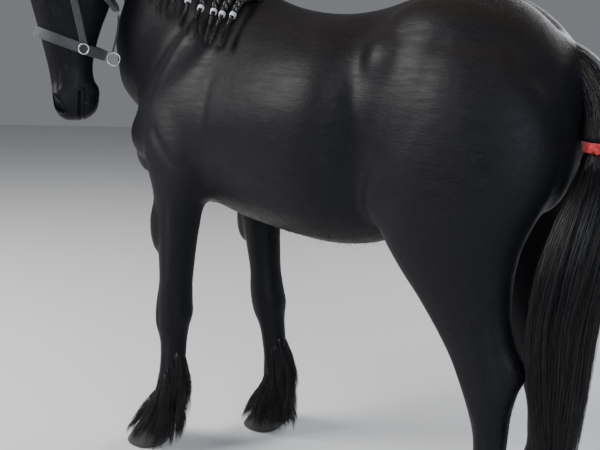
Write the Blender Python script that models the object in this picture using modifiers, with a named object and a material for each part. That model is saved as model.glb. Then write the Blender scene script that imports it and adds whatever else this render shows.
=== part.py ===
"""A life-size still model of a Friesian horse in a stable halter, with a plaited mane and a ribbon on its tail.

The horse faces -X, its left side is -Y, and it stands on z = 0. Its neck is bent to its left and its face hangs
almost upright. Tables are written in units of CM, which is close to a centimetre and scales the whole horse.
"""

import math
import random

import bmesh
import bpy
import numpy as np
from mathutils import Matrix, Vector
from mathutils.bvhtree import BVHTree

# Driving dimensions
HEIGHT = 1.60  # ground to the top of the withers
CM = HEIGHT / 166  # unit of every table below
MIDDLE = (-9.5, -8.7)  # middle of the box that the horse fills, in table units, which becomes the origin
GAP = 0.0003  # clear space between pieces that touch

# Fineness of the fused body
VOXEL = 0.75 * CM
SMOOTH_PASSES = 5
TRUNK_PASSES = 36
RING_SIDES = 28

# How far each foot stands from square along X and along Y, and the heights that the limbs lean from
LEAN = {"fore_left": (-7.0, -3.5), "fore_right": (18.0, 2.5), "hind_left": (2.0, 0.0), "hind_right": (6.0, 0.0)}
PIVOT = {"fore": 118.0, "hind": 128.0}
ELBOW_TOP = 106.0  # muscles with their middle below this level lean with the limb
SIDES = {"left": -1, "right": 1}

# The head hangs from the poll, turned to the left of straight ahead and tucked in behind the upright
POLL = (-99.9, -39.2, 184.5)
HEAD_TURN = math.radians(40)
HEAD_TUCK = math.radians(8)

# Trunk sections along X: x, top, keel, half width, height of the widest level, crown and keel fullness
TRUNK = (
    (-82.56, 126.8, 113.8, 6.12, 119.8, 2, 2),
    (-79.2, 135.8, 105.8, 14.28, 119.8, 2, 2.2),
    (-72, 146.8, 98.3, 20.4, 119.8, 2, 2.3),
    (-62.4, 156.8, 93.8, 23.46, 119.8, 1.9, 2.3),
    (-51.84, 163.3, 91.2, 24.99, 119.8, 1.65, 2.3),
    (-43.2, 165.8, 90.7, 25.7, 119.8, 1.5, 2.2),
    (-32.64, 163.8, 88.2, 27.03, 120.8, 1.55, 2.1),
    (-21.12, 159.8, 86.6, 28.87, 121.8, 1.75, 2.1),
    (-7.68, 157.4, 85.4, 30.6, 122.8, 1.95, 2.1),
    (4.8, 157, 85.4, 30.91, 123.8, 1.95, 2.1),
    (15.36, 158.8, 87.2, 28.6, 124.8, 1.75, 2.1),
    (25.92, 161.8, 91.8, 26.6, 128.8, 1.9, 2),
    (36.48, 164.3, 98.4, 26.52, 132.8, 2.15, 2),
    (48, 163.3, 105.4, 25.5, 133.8, 2.1, 2),
    (58.56, 159.3, 108.4, 23.26, 132.8, 2.05, 2),
    (67.2, 152.3, 111.4, 18.87, 131.8, 2, 2),
    (73.92, 143.3, 115.4, 12.75, 129.8, 2, 2),
    (77.28, 134.8, 121.4, 6.12, 128.8, 2, 2),
)

# Limb sections down Z: height, front edge, back edge, middle from the centre plane, half width
FORE_LIMB = (
    (123.8, -69.8, -41.8, 16.5, 8.2),
    (113.8, -69.8, -38.8, 17.5, 8.8),
    (105.8, -67.8, -37.8, 18, 8.6),
    (98.8, -64.3, -38.8, 18, 8.1),
    (91.7, -61.8, -42.8, 17.6, 7.4),
    (82.9, -60, -44.6, 17.2, 6.6),
    (72.1, -58.8, -45.6, 16.8, 6.1),
    (62.8, -58, -46, 16.5, 5.9),
    (57, -58.5, -45.6, 16.4, 6.4),
    (52.1, -58.6, -44.9, 16.4, 6.5),
    (47.4, -58, -46, 16.4, 5.9),
    (43.3, -56.4, -46.2, 16.3, 5.0),
    (36.1, -55.6, -46, 16.2, 4.5),
    (29.9, -55.6, -46, 16.2, 4.5),
    (25, -56.2, -45.2, 16.2, 5.1),
    (20.6, -57.2, -46.2, 16.3, 4.5),
    (15.5, -59.4, -49.2, 16.4, 4.2),
    (11.3, -61.2, -49.2, 16.5, 5.1),
    (7.7, -62.2, -49.8, 16.5, 5.5),
    (4.1, -62.8, -50.8, 16.5, 5.5),
)
HIND_LIMB = (
    (145.8, 23.5, 63.5, 14.5, 10.7),
    (133.8, 21.5, 72.5, 16, 12.8),
    (121.8, 21, 76, 17, 13.1),
    (111.8, 22.5, 74.5, 17.8, 12.4),
    (103.8, 24, 71, 18.2, 11.2),
    (95.8, 27, 68, 18, 9.7),
    (87.5, 32.5, 66.5, 17.4, 8.2),
    (78.8, 39.5, 66.5, 16.8, 6.7),
    (70, 45.9, 68.7, 16.4, 5.8),
    (63.9, 49.8, 71.7, 16.2, 5.5),
    (57.7, 53.2, 69.7, 16.2, 5.8),
    (51.1, 56.2, 68.3, 16.2, 5.5),
    (44.7, 58.2, 68, 16.2, 4.8),
    (36.1, 59, 67.8, 16.2, 4.5),
    (29.9, 59, 67.8, 16.2, 4.5),
    (25, 57.5, 68.1, 16.2, 4.9),
    (20.6, 56.3, 66.9, 16.3, 4.5),
    (15.5, 54.1, 64.3, 16.4, 4.2),
    (11.3, 52.3, 64.1, 16.5, 5),
    (7.7, 51.1, 63.5, 16.5, 5.4),
    (4.1, 50.3, 62.5, 16.5, 5.4),
)

# Neck sections from the trunk to the poll: crest x, y, z, throat x, y, z, half width, crest and throat fullness
NECK = (
    (-34.56, 0, 162.8, -63.36, 0, 102.8, 20.4, 1.7, 2),
    (-45.12, -0.3, 167.8, -79.5, -3.0, 115.3, 17.85, 1.7, 2),
    (-54.72, -1.5, 174.8, -90.0, -10.0, 127.6, 15.6, 1.65, 2),
    (-64.2, -4.3, 181.6, -91.4, -12.3, 138.0, 13.5, 1.65, 2),
    (-73.5, -9.0, 186.9, -92.0, -12.8, 147.9, 11.8, 1.65, 2),
    (-81.4, -15.1, 190.0, -88.6, -11.8, 157.5, 10.4, 1.7, 2.1),
    (-87.8, -21.8, 190.9, -88.2, -16.3, 164.4, 9.49, 1.75, 2.1),
    (-92.4, -28.0, 190.0, -87.6, -20.5, 169.2, 8.77, 1.8, 2.1),
    (-96.0, -33.7, 187.8, -87.9, -24.7, 172.8, 8.16, 1.9, 2.1),
)

# Head sections down its length: from the poll, face line, jaw line, half width, widest level, face and jaw fullness
HEAD = (
    (-3.0, 0.0, -7.0, 3.2, -3.5, 2.0, 2.0),
    (0.0, 3.2, -9.5, 5.4, -3.5, 2.0, 2.0),
    (6.0, 6.2, -14.0, 7.6, -3.0, 2.2, 2.0),
    (12.0, 7.6, -18.8, 8.7, -3.0, 2.4, 2.1),
    (20.0, 8.0, -20.8, 9.2, -2.5, 2.6, 2.1),
    (28.0, 7.3, -19.4, 8.2, -3.0, 2.6, 2.1),
    (36.0, 6.4, -15.2, 6.7, -2.5, 2.6, 2.0),
    (44.0, 5.7, -11.6, 5.6, -2.0, 2.5, 2.0),
    (50.0, 5.3, -9.8, 5.1, -1.8, 2.4, 2.0),
    (56.0, 5.4, -9.8, 5.4, -1.8, 2.3, 2.1),
    (61.0, 5.2, -10.0, 5.9, -1.8, 2.2, 2.2),
    (65.0, 3.9, -8.6, 5.3, -2.2, 2.0, 2.2),
    (67.5, 1.8, -6.2, 3.6, -2.5, 2.0, 2.0),
)

# Muscles and bones that stand out, mirrored: middle x, y, z, half sizes along X, Y, Z, and lean about Y in degrees
MUSCLES = (
    (-55.7, 14.5, 134.8, 10.5, 9, 24, 37),  # shoulder blade
    (-50.9, 16.5, 112.8, 13.5, 9.6, 15, -28),  # triceps
    (-72, 14, 114.8, 9, 7.8, 10, 20),  # point of the shoulder
    (-76.8, 7.5, 110.8, 7.5, 8.6, 13, 12),  # breast
    (-41.8, 17.5, 99.8, 4.5, 4.6, 5.5, 0),  # elbow
    (-57.6, 18.3, 86.5, 5.6, 5.6, 14, 8),  # forearm
    (27.5, 15.8, 140, 11.5, 10.6, 12.5, 0),  # point of the hip
    (42.2, 12, 146.8, 22, 11.8, 13.5, 10),  # croup
    (50.9, 16, 125.8, 19, 12.8, 25, -10),  # thigh
    (32.6, 17, 111.8, 11.5, 11, 17, 20),  # front of the thigh
    (27.8, 19, 104.8, 5.4, 5.4, 6, 0),  # kneecap
    (67.2, 10, 124.8, 10, 9.8, 20, -6),  # hamstrings
    (45.1, 17.6, 90.6, 9.5, 7, 15, -28),  # gaskin
)

# Bumps of the head in its own measures: from the poll, out to the side, forward of the axis, and half sizes
HEAD_BUMPS = (
    (19.0, 6.5, 5.2, 5.2, 3.0, 2.5),  # brow
    (23.5, 6.6, 0.6, 5.0, 2.8, 2.6),  # below the eye
    (21.0, 5.4, -12.0, 9.0, 4.2, 8.6),  # cheek
    (33.0, 5.2, -0.8, 8.5, 1.7, 1.5),  # facial crest
    (59.5, 4.3, 2.4, 4.6, 2.5, 3.0),  # nostril
    (63.0, 2.6, 0.8, 4.4, 3.8, 4.4),  # upper lip
    (62.5, 1.8, -6.8, 3.8, 3.4, 3.4),  # lower lip
    (58.0, 0.6, -8.6, 3.4, 3.2, 2.8),  # chin
)
EYE = (21.0, 8.1, 3.0)  # middle of the eyeball in the head's measures
EYE_RADIUS = 2.25
EAR_ROOT = (-0.5, 4.6, -1.5)

FORELOCK_LOCKS = 5
FORELOCK_LENGTH = 31.0

# Planes that part the body: a point, and the normal towards the part that is cut off the trunk
NECK_CUT = ((-31, 0, 160), (-0.6, 0.0, 0.8))
HEAD_REGION = ((-20, 1.3), (21, -21.3), (72, -8.6), (80, 25), (-20, 25))  # outline that holds the head, in its measures
FORE_CUT = ((-53, 0, 84.2), (0, 0, -1))
HIND_CUT = ((19, 0, 86.0), (0.287, 0, -0.958))
KNEE_CUT = 44.5
HOCK_CUT = 50.2

# Hooves: middle, half length and half width at the ground and at the coronet, as distances from the limb's square place
HOOF = {"fore": (-60.4, -55.4, 7.6, 7.4, 6.6, 6.0), "hind": (52.5, 57.5, 7.2, 6.8, 6.4, 5.8)}
CORONET = (9.4, 5.0)  # height at the toe and at the heel

# Outline of the long hair of a lower leg: height, middle behind the cannon's front, half depth, half width
FEATHER = (
    (40.0, 7.2, 3.2, 3.4), (35.0, 6.8, 4.2, 4.2), (28.0, 6.0, 5.6, 5.4), (21.0, 4.2, 7.8, 7.0),
    (14.0, 1.4, 9.8, 8.8), (8.0, -1.6, 11.4, 10.2), (3.5, -3.4, 12.2, 10.8), (0.8, -4.0, 11.9, 10.4),
)
# Its tiers of locks: height of the roots, length, number of locks, spread each side of straight back, half width
FEATHER_TIERS = ((36.5, 19.0, 3, 60, 2.4), (27.5, 18.0, 4, 100, 3.1), (17.5, 16.5, 8, 170, 3.7))

# Tail sections: x, z, half width across the horse, half depth, and how far the tail hangs to the right of the middle
TAIL = (
    (67, 147.3, 4.6, 3.6, 0),
    (72, 144.3, 4.9, 4.2, 0),
    (76.5, 139.8, 5.2, 4.7, -0.8),
    (80.9, 132.8, 6, 5, -3.4),
    (82.2, 126.8, 5.9, 4.9, -6.6),
    (82.4, 124, 4.9, 4.1, -7.8),
    (82.7, 120.8, 5.7, 4.9, -8.8),
    (83.8, 112.8, 11.6, 6.2, -10.6),
    (82.0, 102.8, 15.4, 7.6, -12.8),
    (80.4, 90.8, 16.6, 8.0, -14.0),
    (79.6, 76.8, 15.2, 7.8, -14.2),
    (80.2, 62.8, 12, 6.8, -12.6),
    (80.0, 46.1, 9.0, 6, -10),
    (80.0, 31.4, 6.6, 4.6, -8),
    (80.2, 18.8, 3.6, 2.8, -7),
    (80.2, 13.6, 1, 0.8, -7),
)

TAIL_LOCKS = 10
DOCK_SIDES = 14

# Mane: place of each plait along the crest, by share from withers to poll, and its length down to the band
PLAITS = (
    (0.0, 8.5), (0.06, 10.5), (0.15, 14.0), (0.235, 17.5), (0.31, 18.5), (0.38, 19.0), (0.445, 19.0), (0.51, 18.5)
)
TASSEL_LENGTH = 8.5
TASSEL_LOCKS = 2
LOOSE_LOCKS = 8
LOOSE_START = 0.58
LOOSE_END = 0.90
LOOSE_LENGTH = 24.0

COAT = (0.012, 0.011, 0.014)
HORN = (0.030, 0.027, 0.025)
HAIR = (0.008, 0.008, 0.011)
LEATHER = (0.14, 0.14, 0.15)
METAL = (0.60, 0.58, 0.54)
WHITE = (0.80, 0.80, 0.82)
RED = (0.62, 0.03, 0.03)
EYE_COLOUR = (0.020, 0.010, 0.006)


def clear_scene():
    for obj in list(bpy.data.objects):
        bpy.data.objects.remove(obj)


def collection(name):
    made = bpy.data.collections.new(name)
    bpy.context.scene.collection.children.link(made)
    return made


def material(name, colour, roughness, metallic=0.0):
    made = bpy.data.materials.new(name)
    made.use_nodes = True
    shader = made.node_tree.nodes["Principled BSDF"]
    shader.inputs["Base Color"].default_value = (*colour, 1.0)
    shader.inputs["Roughness"].default_value = roughness
    shader.inputs["Metallic"].default_value = metallic
    return made


def object_from(bm, name, holder):
    mesh = bpy.data.meshes.new(name)
    bmesh.ops.recalc_face_normals(bm, faces=bm.faces)
    bm.to_mesh(mesh)
    bm.free()
    made = bpy.data.objects.new(name, mesh)
    holder.objects.link(made)
    return made


def resample(rows, step):
    """Rows of numbers read again about every step of their first column, on a smooth curve through them."""
    rows = np.array(rows, float)
    place = rows[:, 0]
    if place[0] > place[-1]:
        return resample(rows[::-1], step)[::-1]
    wanted = np.linspace(place[0], place[-1], max(3, int(round((place[-1] - place[0]) / step)) + 1))
    slope = np.gradient(rows, place, axis=0)
    k = np.clip(np.searchsorted(place, wanted, side="right") - 1, 0, len(place) - 2)
    span = place[k + 1] - place[k]
    t = ((wanted - place[k]) / span)[:, None]
    span = span[:, None]
    return (
        (2 * t**3 - 3 * t**2 + 1) * rows[k]
        + (t**3 - 2 * t**2 + t) * span * slope[k]
        + (3 * t**2 - 2 * t**3) * rows[k + 1]
        + (t**3 - t**2) * span * slope[k + 1]
    )


def numbered(rows, step):
    """Rows read again at even shares of their count, for tables without a steady first column."""
    rows = np.array(rows, float)
    place = np.arange(len(rows), dtype=float)[:, None]
    return resample(np.hstack([place, rows]), step)[:, 1:]


def section(middle, up, side, reach_up, reach_down, half_width, full_up=2.0, full_down=2.0, sides=RING_SIDES):
    """A closed ring about middle: a superellipse with its own reach and fullness above and below."""
    ring = []
    for i in range(sides):
        turn = 2 * math.pi * i / sides
        c, s = math.cos(turn), math.sin(turn)
        full, reach = (full_up, reach_up) if s >= 0 else (full_down, reach_down)
        across = half_width * math.copysign(abs(c) ** (2 / full), c)
        along = reach * math.copysign(abs(s) ** (2 / full), s)
        ring.append(Vector(middle) + Vector(side) * across + Vector(up) * along)
    return ring


def loft(rings, name, holder, closed=False):
    """A tube through rings of equal length, in metres, closed at each end by a fan or onto its own start."""
    bm = bmesh.new()
    made = [[bm.verts.new(p) for p in ring] for ring in rings]
    count = len(made[0])
    pairs = list(zip(made, made[1:])) + ([(made[-1], made[0])] if closed else [])
    for a, b in pairs:
        for i in range(count):
            j = (i + 1) % count
            bm.faces.new((a[i], a[j], b[j]))
            bm.faces.new((a[i], b[j], b[i]))
    for ring in () if closed else (made[0], made[-1]):
        tip = bm.verts.new(sum((v.co for v in ring), Vector()) / count)
        for i in range(count):
            bm.faces.new((ring[i], ring[(i + 1) % count], tip))
    return object_from(bm, name, holder)


def scaled(ring):
    return [p * CM for p in ring]


def ellipsoid(middle, half_sizes, turn, name, holder, detail=16):
    """An ellipsoid in table units, turned by a rotation matrix."""
    bm = bmesh.new()
    sizes = Vector(half_sizes) * CM
    shape = Matrix.Translation(Vector(middle) * CM) @ turn.to_4x4() @ Matrix.Diagonal((*sizes, 1.0))
    bmesh.ops.create_uvsphere(bm, u_segments=detail, v_segments=detail // 2, radius=1.0, matrix=shape)
    return object_from(bm, name, holder)


def head_axes():
    """The head's own axes: down its length, out to its right, and forward out of its face."""
    facing = Vector((-math.cos(HEAD_TURN), -math.sin(HEAD_TURN), 0))
    rise = Vector((0, 0, 1))
    down = -rise * math.cos(HEAD_TUCK) - facing * math.sin(HEAD_TUCK)
    forward = facing * math.cos(HEAD_TUCK) - rise * math.sin(HEAD_TUCK)
    return down, down.cross(forward), forward


def on_head(along, out, front):
    """A point given in the head's measures, in table units of the model."""
    down, right, forward = head_axes()
    return Vector(POLL) + down * along + right * out + forward * front


def off_head(point):
    """The head's measures of a point in table units."""
    away = Vector(point) - Vector(POLL)
    return tuple(away.dot(axis) for axis in head_axes())


def head_turn():
    return Matrix(head_axes()).transposed()


def trunk(holder):
    rings = []
    for x, top, keel, wide, level, crown, base in resample(TRUNK, 3.0):
        rings.append(
            scaled(section((x, 0, level), (0, 0, 1), (0, 1, 0), top - level, level - keel, wide, crown, base))
        )
    return loft(rings, "trunk", holder)


def stand(limb_name, x, y, z):
    """A point of a square limb where the limb's lean puts it; y is measured outwards."""
    end, side = limb_name.split("_")
    share = max(0.0, (PIVOT[end] - z) / PIVOT[end])
    return Vector((x + LEAN[limb_name][0] * share, SIDES[side] * y + LEAN[limb_name][1] * share, z))


def limb(limb_name, holder):
    rings = []
    for z, front, back, middle, half in resample(FORE_LIMB if "fore" in limb_name else HIND_LIMB, 2.0):
        centre = stand(limb_name, (front + back) / 2, middle, z)
        deep = (back - front) / 2
        rings.append(scaled(section(centre, (-1, 0, 0), (0, 1, 0), deep, deep, half, 2.1, 2.1)))
    return loft(rings, limb_name, holder)


def neck_sections(step=0.25):
    """Crest, throat, way across, half width and fullness of each neck section, in table units."""
    rows = numbered(NECK, step)
    made = []
    for i, row in enumerate(rows):
        before, after = rows[max(0, i - 1)], rows[min(len(rows) - 1, i + 1)]
        run = (Vector(after[0:3]) + Vector(after[3:6])) - (Vector(before[0:3]) + Vector(before[3:6]))
        across = Vector((run.x, run.y, 0)).normalized().cross(Vector((0, 0, 1)))
        made.append((Vector(row[0:3]), Vector(row[3:6]), across, row[6], row[7], row[8]))
    return made


def neck(holder):
    rings = []
    for crest, throat, across, wide, full_up, full_down in neck_sections():
        reach = (crest - throat).length / 2
        up = (crest - throat).normalized()
        rings.append(scaled(section((crest + throat) / 2, up, across, reach, reach, wide, full_up, full_down)))
    return loft(rings, "neck_form", holder)


def head(holder):
    down, right, forward = head_axes()
    rings = []
    for along, face, jaw, wide, level, full_face, full_jaw in resample(HEAD, 2.0):
        rings.append(
            scaled(
                section(on_head(along, 0, level), forward, right, face - level, level - jaw, wide, full_face, full_jaw)
            )
        )
    made = [loft(rings, "head_form", holder)]
    for along, out, front, *sizes in HEAD_BUMPS:
        for side in SIDES.values():
            made.append(ellipsoid(on_head(along, side * out, front), sizes, head_turn(), "bump", holder))
    for side in SIDES.values():
        root = on_head(EAR_ROOT[0], side * EAR_ROOT[1], EAR_ROOT[2])
        made.append(ellipsoid(root, (3.6, 3.0, 3.4), head_turn(), "ear_root", holder))
    return made


def muscles(holder):
    made = []
    for x, y, z, long, wide, tall, lean in MUSCLES:
        turn = Matrix.Rotation(math.radians(lean), 3, "Y")
        for side_name, side in SIDES.items():
            middle = Vector((x, side * y, z))
            if z < ELBOW_TOP:
                middle = stand(("fore_" if x < 0 else "hind_") + side_name, x, y, z)
            made.append(ellipsoid(middle, (long, wide, tall), turn, "muscle", holder))
    return made


def tail_rings(last, grow=0.0):
    """Rings of the tail from its root down to row last."""
    rows = numbered(TAIL[:last], 0.8)
    if grow:
        rows = np.vstack([rows[0] + (rows[0] - rows[1]) * 0.1, rows])
        rows[0, 2:] = rows[1, 2:]
    rings = []
    for i, (x, z, wide, deep, y) in enumerate(rows):
        before, after = rows[max(0, i - 1)], rows[min(len(rows) - 1, i + 1)]
        run = Vector((after[0] - before[0], 0, after[1] - before[1])).normalized()
        back = Vector((0, 1, 0)).cross(run)
        rings.append(
            scaled(section((x, y, z), back, (0, 1, 0), deep + grow, deep + grow, wide + grow, sides=DOCK_SIDES))
        )
    return rings


def tail_point(z, turn, reach):
    """A point of the hanging tail: reach 0 in its middle, 1 on its outline; turn is 0 straight back."""
    rows = np.array(TAIL)[::-1]
    x, wide, deep, y = (float(np.interp(z, rows[:, 1], rows[:, k])) for k in (0, 2, 3, 4))
    return Vector((x + deep * reach * math.cos(turn), y + wide * reach * math.sin(turn), z))


def tail_core():
    """The dock with its wrapped hair down to the ribbon, and the inner hair below it."""
    rings = tail_rings(8)
    for z, reach in ((104, 0.55), (88, 0.55), (70, 0.55), (52, 0.5), (36, 0.4)):
        middle = tail_point(z, 0, 0)
        deep = tail_point(z, 0, reach).x - middle.x
        wide = tail_point(z, math.pi / 2, reach).y - middle.y
        rings.append(scaled(section(middle, (-1, 0, 0), (0, 1, 0), deep, deep, wide, sides=DOCK_SIDES)))
    return rings


def tail_locks(holder):
    """Long flat locks that fall from the ribbon and overlap, each to its own length."""
    draw = random.Random("tail")
    locks = []
    for i in range(TAIL_LOCKS):
        turn = 2 * math.pi * (i + draw.uniform(-0.2, 0.2)) / TAIL_LOCKS
        end = draw.uniform(14.0, 46.0) if i % 3 else 14.5
        start = 118.5 - 2.5 * (i % 2)
        swing = draw.uniform(-0.16, 0.16)
        path, ways = [], []
        for share, reach in ((0, 0.35), (0.12, 0.82), (0.4, 0.94), (0.72, 0.92), (1.0, 0.75)):
            z = start + (end - start) * share
            turned_to = turn + swing * share * 2
            path.append(tail_point(z, turned_to, reach))
            ways.append(Vector((math.cos(turned_to), math.sin(turned_to), 0)))
        wide = 4.2 if i % 2 else 3.7
        locks.append(lock(path, ways, [wide * k for k in (0.5, 1.0, 1.0, 0.75, 0.08)], 1.6, holder))
    return locks


def in_place_of(obj, name, holder):
    """A plain mesh object from what obj's modifiers make; obj is removed."""
    bpy.context.view_layer.update()
    graph = bpy.context.evaluated_depsgraph_get()
    mesh = bpy.data.meshes.new_from_object(obj.evaluated_get(graph))
    bpy.data.objects.remove(obj)
    made = bpy.data.objects.new(name, mesh)
    holder.objects.link(made)
    return made


def joined(pieces, name, holder):
    """One mesh object that holds the faces of several."""
    bm = bmesh.new()
    for piece in pieces:
        bm.from_mesh(piece.data)
        bpy.data.objects.remove(piece)
    return object_from(bm, name, holder)


def trunk_weight(point):
    """How much of the extra smoothing a point of the body takes: all on the trunk, none on limbs and head."""
    x, y, z = point / CM
    along, out, front = off_head((x, y, z))
    clear_of_head = min(1.0, max(0.0, (Vector((x, y, z)) - on_head(22, 0, -5)).length / 10 - 3.0))
    if along < 18:
        clear_of_head = min(clear_of_head, max(0.0, (-front - 14) / 10))
    return clear_of_head * min(1.0, max(0.0, (z - 86) / 12))


def fused(pieces, name, holder):
    """The pieces melted into one skin, smoothed lightly all over and more on the trunk."""
    body = joined(pieces, name, holder)
    melt = body.modifiers.new("melt", "REMESH")
    melt.mode = "VOXEL"
    melt.voxel_size = VOXEL
    soften = body.modifiers.new("soften", "SMOOTH")
    soften.factor = 0.5
    soften.iterations = SMOOTH_PASSES
    body = in_place_of(body, name, holder)
    group = body.vertex_groups.new(name="trunk")
    for i, vertex in enumerate(body.data.vertices):
        weight = trunk_weight(vertex.co)
        if weight > 0:
            group.add([i], weight, "REPLACE")
    soften = body.modifiers.new("soften_trunk", "SMOOTH")
    soften.factor = 0.5
    soften.iterations = TRUNK_PASSES
    soften.vertex_group = "trunk"
    return in_place_of(body, name, holder)


def triangles_of(obj):
    obj.data.calc_loop_triangles()
    return len(obj.data.loop_triangles)


def thinned(obj, name, holder, triangles):
    """The object with about that many triangles."""
    thin = obj.modifiers.new("thin", "DECIMATE")
    thin.ratio = min(1.0, triangles / triangles_of(obj))
    thin.use_collapse_triangulate = True
    return in_place_of(obj, name, holder)


def cut(obj, point, normal, clearance):
    """Keeps what lies in front of a plane in table units, clear of it, and closes the cut."""
    normal = Vector(normal).normalized()
    bm = bmesh.new()
    bm.from_mesh(obj.data)
    bmesh.ops.bisect_plane(
        bm, geom=bm.verts[:] + bm.edges[:] + bm.faces[:], dist=1e-7,
        plane_co=Vector(point) * CM + normal * clearance, plane_no=normal, clear_inner=True,
    )
    bmesh.ops.holes_fill(bm, edges=[e for e in bm.edges if e.is_boundary], sides=0)
    bmesh.ops.triangulate(bm, faces=[f for f in bm.faces if len(f.verts) > 4])
    bmesh.ops.recalc_face_normals(bm, faces=bm.faces)
    bm.to_mesh(obj.data)
    bm.free()


def mended(obj):
    """Melts away slivers and doubled points, as coarsely as keeps the surface closed, and leaves triangles."""
    for reach in (2e-5, 4e-6, 5e-7):
        bm = bmesh.new()
        bm.from_mesh(obj.data)
        bmesh.ops.remove_doubles(bm, verts=bm.verts, dist=reach)
        bmesh.ops.dissolve_degenerate(bm, edges=bm.edges, dist=reach)
        bmesh.ops.triangulate(bm, faces=bm.faces)
        closed = all(len(edge.link_faces) == 2 for edge in bm.edges)
        if closed or reach < 1e-6:
            bm.to_mesh(obj.data)
        bm.free()
        if closed:
            break


def keep_largest(obj):
    """Drops all but the largest closed surface of the object."""
    bm = bmesh.new()
    bm.from_mesh(obj.data)
    left, groups = set(bm.verts), []
    while left:
        seed = left.pop()
        group, edge = {seed}, [seed]
        while edge:
            for link in edge.pop().link_edges:
                for vert in link.verts:
                    if vert not in group:
                        group.add(vert)
                        edge.append(vert)
        left -= group
        groups.append(group)
    if len(groups) > 1:
        keep = max(groups, key=len)
        bmesh.ops.delete(bm, geom=[v for v in bm.verts if v not in keep], context="VERTS")
        bm.to_mesh(obj.data)
    bm.free()


def copy_of(obj, name, holder):
    made = bpy.data.objects.new(name, obj.data.copy())
    holder.objects.link(made)
    return made


def turned(normal):
    return tuple(-value for value in normal)


def part_off(body, name, holder, planes, triangles, without_head=False):
    """A node of the body: what is left in front of all the planes, thinned between two rounds of cutting."""
    margin = 2.4 * CM
    piece = copy_of(body, name + "_raw", holder)
    for point, normal in planes:
        cut(piece, point, normal, -margin)
    if without_head:
        piece = boolean(piece, [head_region(holder, -margin / CM)], "DIFFERENCE")
    keep_largest(piece)
    piece = thinned(piece, name + "_thin", holder, triangles)
    for point, normal in planes:
        cut(piece, point, normal, GAP / 2)
    if without_head:
        piece = boolean(piece, [head_region(holder, GAP / CM / 2)], "DIFFERENCE", crossing=True)
    keep_largest(piece)
    piece.name = name
    return piece


def boolean(obj, others, operation, solver="EXACT", crossing=False):
    """One Boolean of a collection of closed meshes, applied to the object; the others are removed."""
    holder = obj.users_collection[0]
    tools = collection("tools")
    for other in others:
        for old in list(other.users_collection):
            old.objects.unlink(other)
        tools.objects.link(other)
    step = obj.modifiers.new(operation.lower(), "BOOLEAN")
    step.operation = operation
    step.solver = solver
    step.use_self = crossing
    step.operand_type = "COLLECTION"
    step.collection = tools
    name = obj.name
    obj.name = name + "_before"
    made = in_place_of(obj, name, holder)
    for other in list(tools.objects):
        bpy.data.objects.remove(other)
    bpy.data.collections.remove(tools)
    mended(made)
    keep_largest(made)
    return made


def whole_body(holder):
    """The flesh of the horse as one smooth closed skin."""
    pieces = [trunk(holder), neck(holder), loft(tail_rings(3), "dock", holder)]
    pieces += head(holder) + muscles(holder)
    pieces += [limb(limb_name, holder) for limb_name in LEAN]
    return fused(pieces, "whole", holder)


def head_planes():
    """The planes around the head region, each with the way into it."""
    down, right, forward = head_axes()
    planes = []
    for (u, v), (to_u, to_v) in zip(HEAD_REGION, HEAD_REGION[1:3]):
        run = down * (to_u - u) + forward * (to_v - v)
        planes.append((on_head(u, 0, v), right.cross(run).normalized()))
    return planes


def head_region(holder, grow):
    """The block that holds the head, grown all round, to cut the neck clear of the head."""
    middle = Vector((30, 6))
    corners = []
    count = len(HEAD_REGION)
    for i in range(count):
        here = Vector(HEAD_REGION[i])
        before = (here - Vector(HEAD_REGION[i - 1])).normalized()
        after = (Vector(HEAD_REGION[(i + 1) % count]) - here).normalized()
        out_before, out_after = Vector((before.y, -before.x)), Vector((after.y, -after.x))
        if out_before.dot(here - middle) < 0:
            out_before, out_after = -out_before, -out_after
        corner = (out_before + out_after) / (1 + out_before.dot(out_after))
        corners.append(here + corner * grow)
    rings = [[on_head(u, out, v) * CM for u, v in corners] for out in (-26, 26)]
    return loft(rings, "head_region", holder)


def hoof(limb_name, name, holder, grow=0.0):
    """A hoof on the ground, with its wall sloping up to a slanted coronet; grow makes it larger all round."""
    ground, coronet, long, wide, long_top, wide_top = HOOF[limb_name.split("_")[0]]
    shift = stand(limb_name, 0, 16.5, 5.0)
    toe, heel = CORONET
    slant = (toe - heel) / (2 * long_top)
    up = Vector((-1, 0, slant))
    lift = Vector((slant, 0, 1)).normalized() * grow
    bottom = Vector((ground + shift.x, shift.y, -4 * grow))
    bevel = Vector((ground + shift.x, shift.y, 0.5))
    top = Vector((coronet + shift.x, shift.y, (toe + heel) / 2)) + lift
    rings = [
        section(bottom, (-1, 0, 0), (0, 1, 0), long - 0.2 + grow, long - 0.9 + grow, wide - 0.25 + grow, 2.1, 2.4, 16),
        section(bevel, (-1, 0, 0), (0, 1, 0), long + grow, long - 0.6 + grow, wide + grow, 2.1, 2.4, 16),
        section(top, up, (0, 1, 0), long_top + grow, long_top + grow, wide_top + grow, 2.1, 2.2, 16),
    ]
    return loft([scaled(ring) for ring in rings], name, holder)


def limb_row(limb_name, z):
    """Front edge, back edge, middle and half width of a square limb at a height."""
    rows = np.array(FORE_LIMB if "fore" in limb_name else HIND_LIMB)[::-1]
    return [float(np.interp(z, rows[:, 0], rows[:, k])) for k in (1, 2, 3, 4)]


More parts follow.
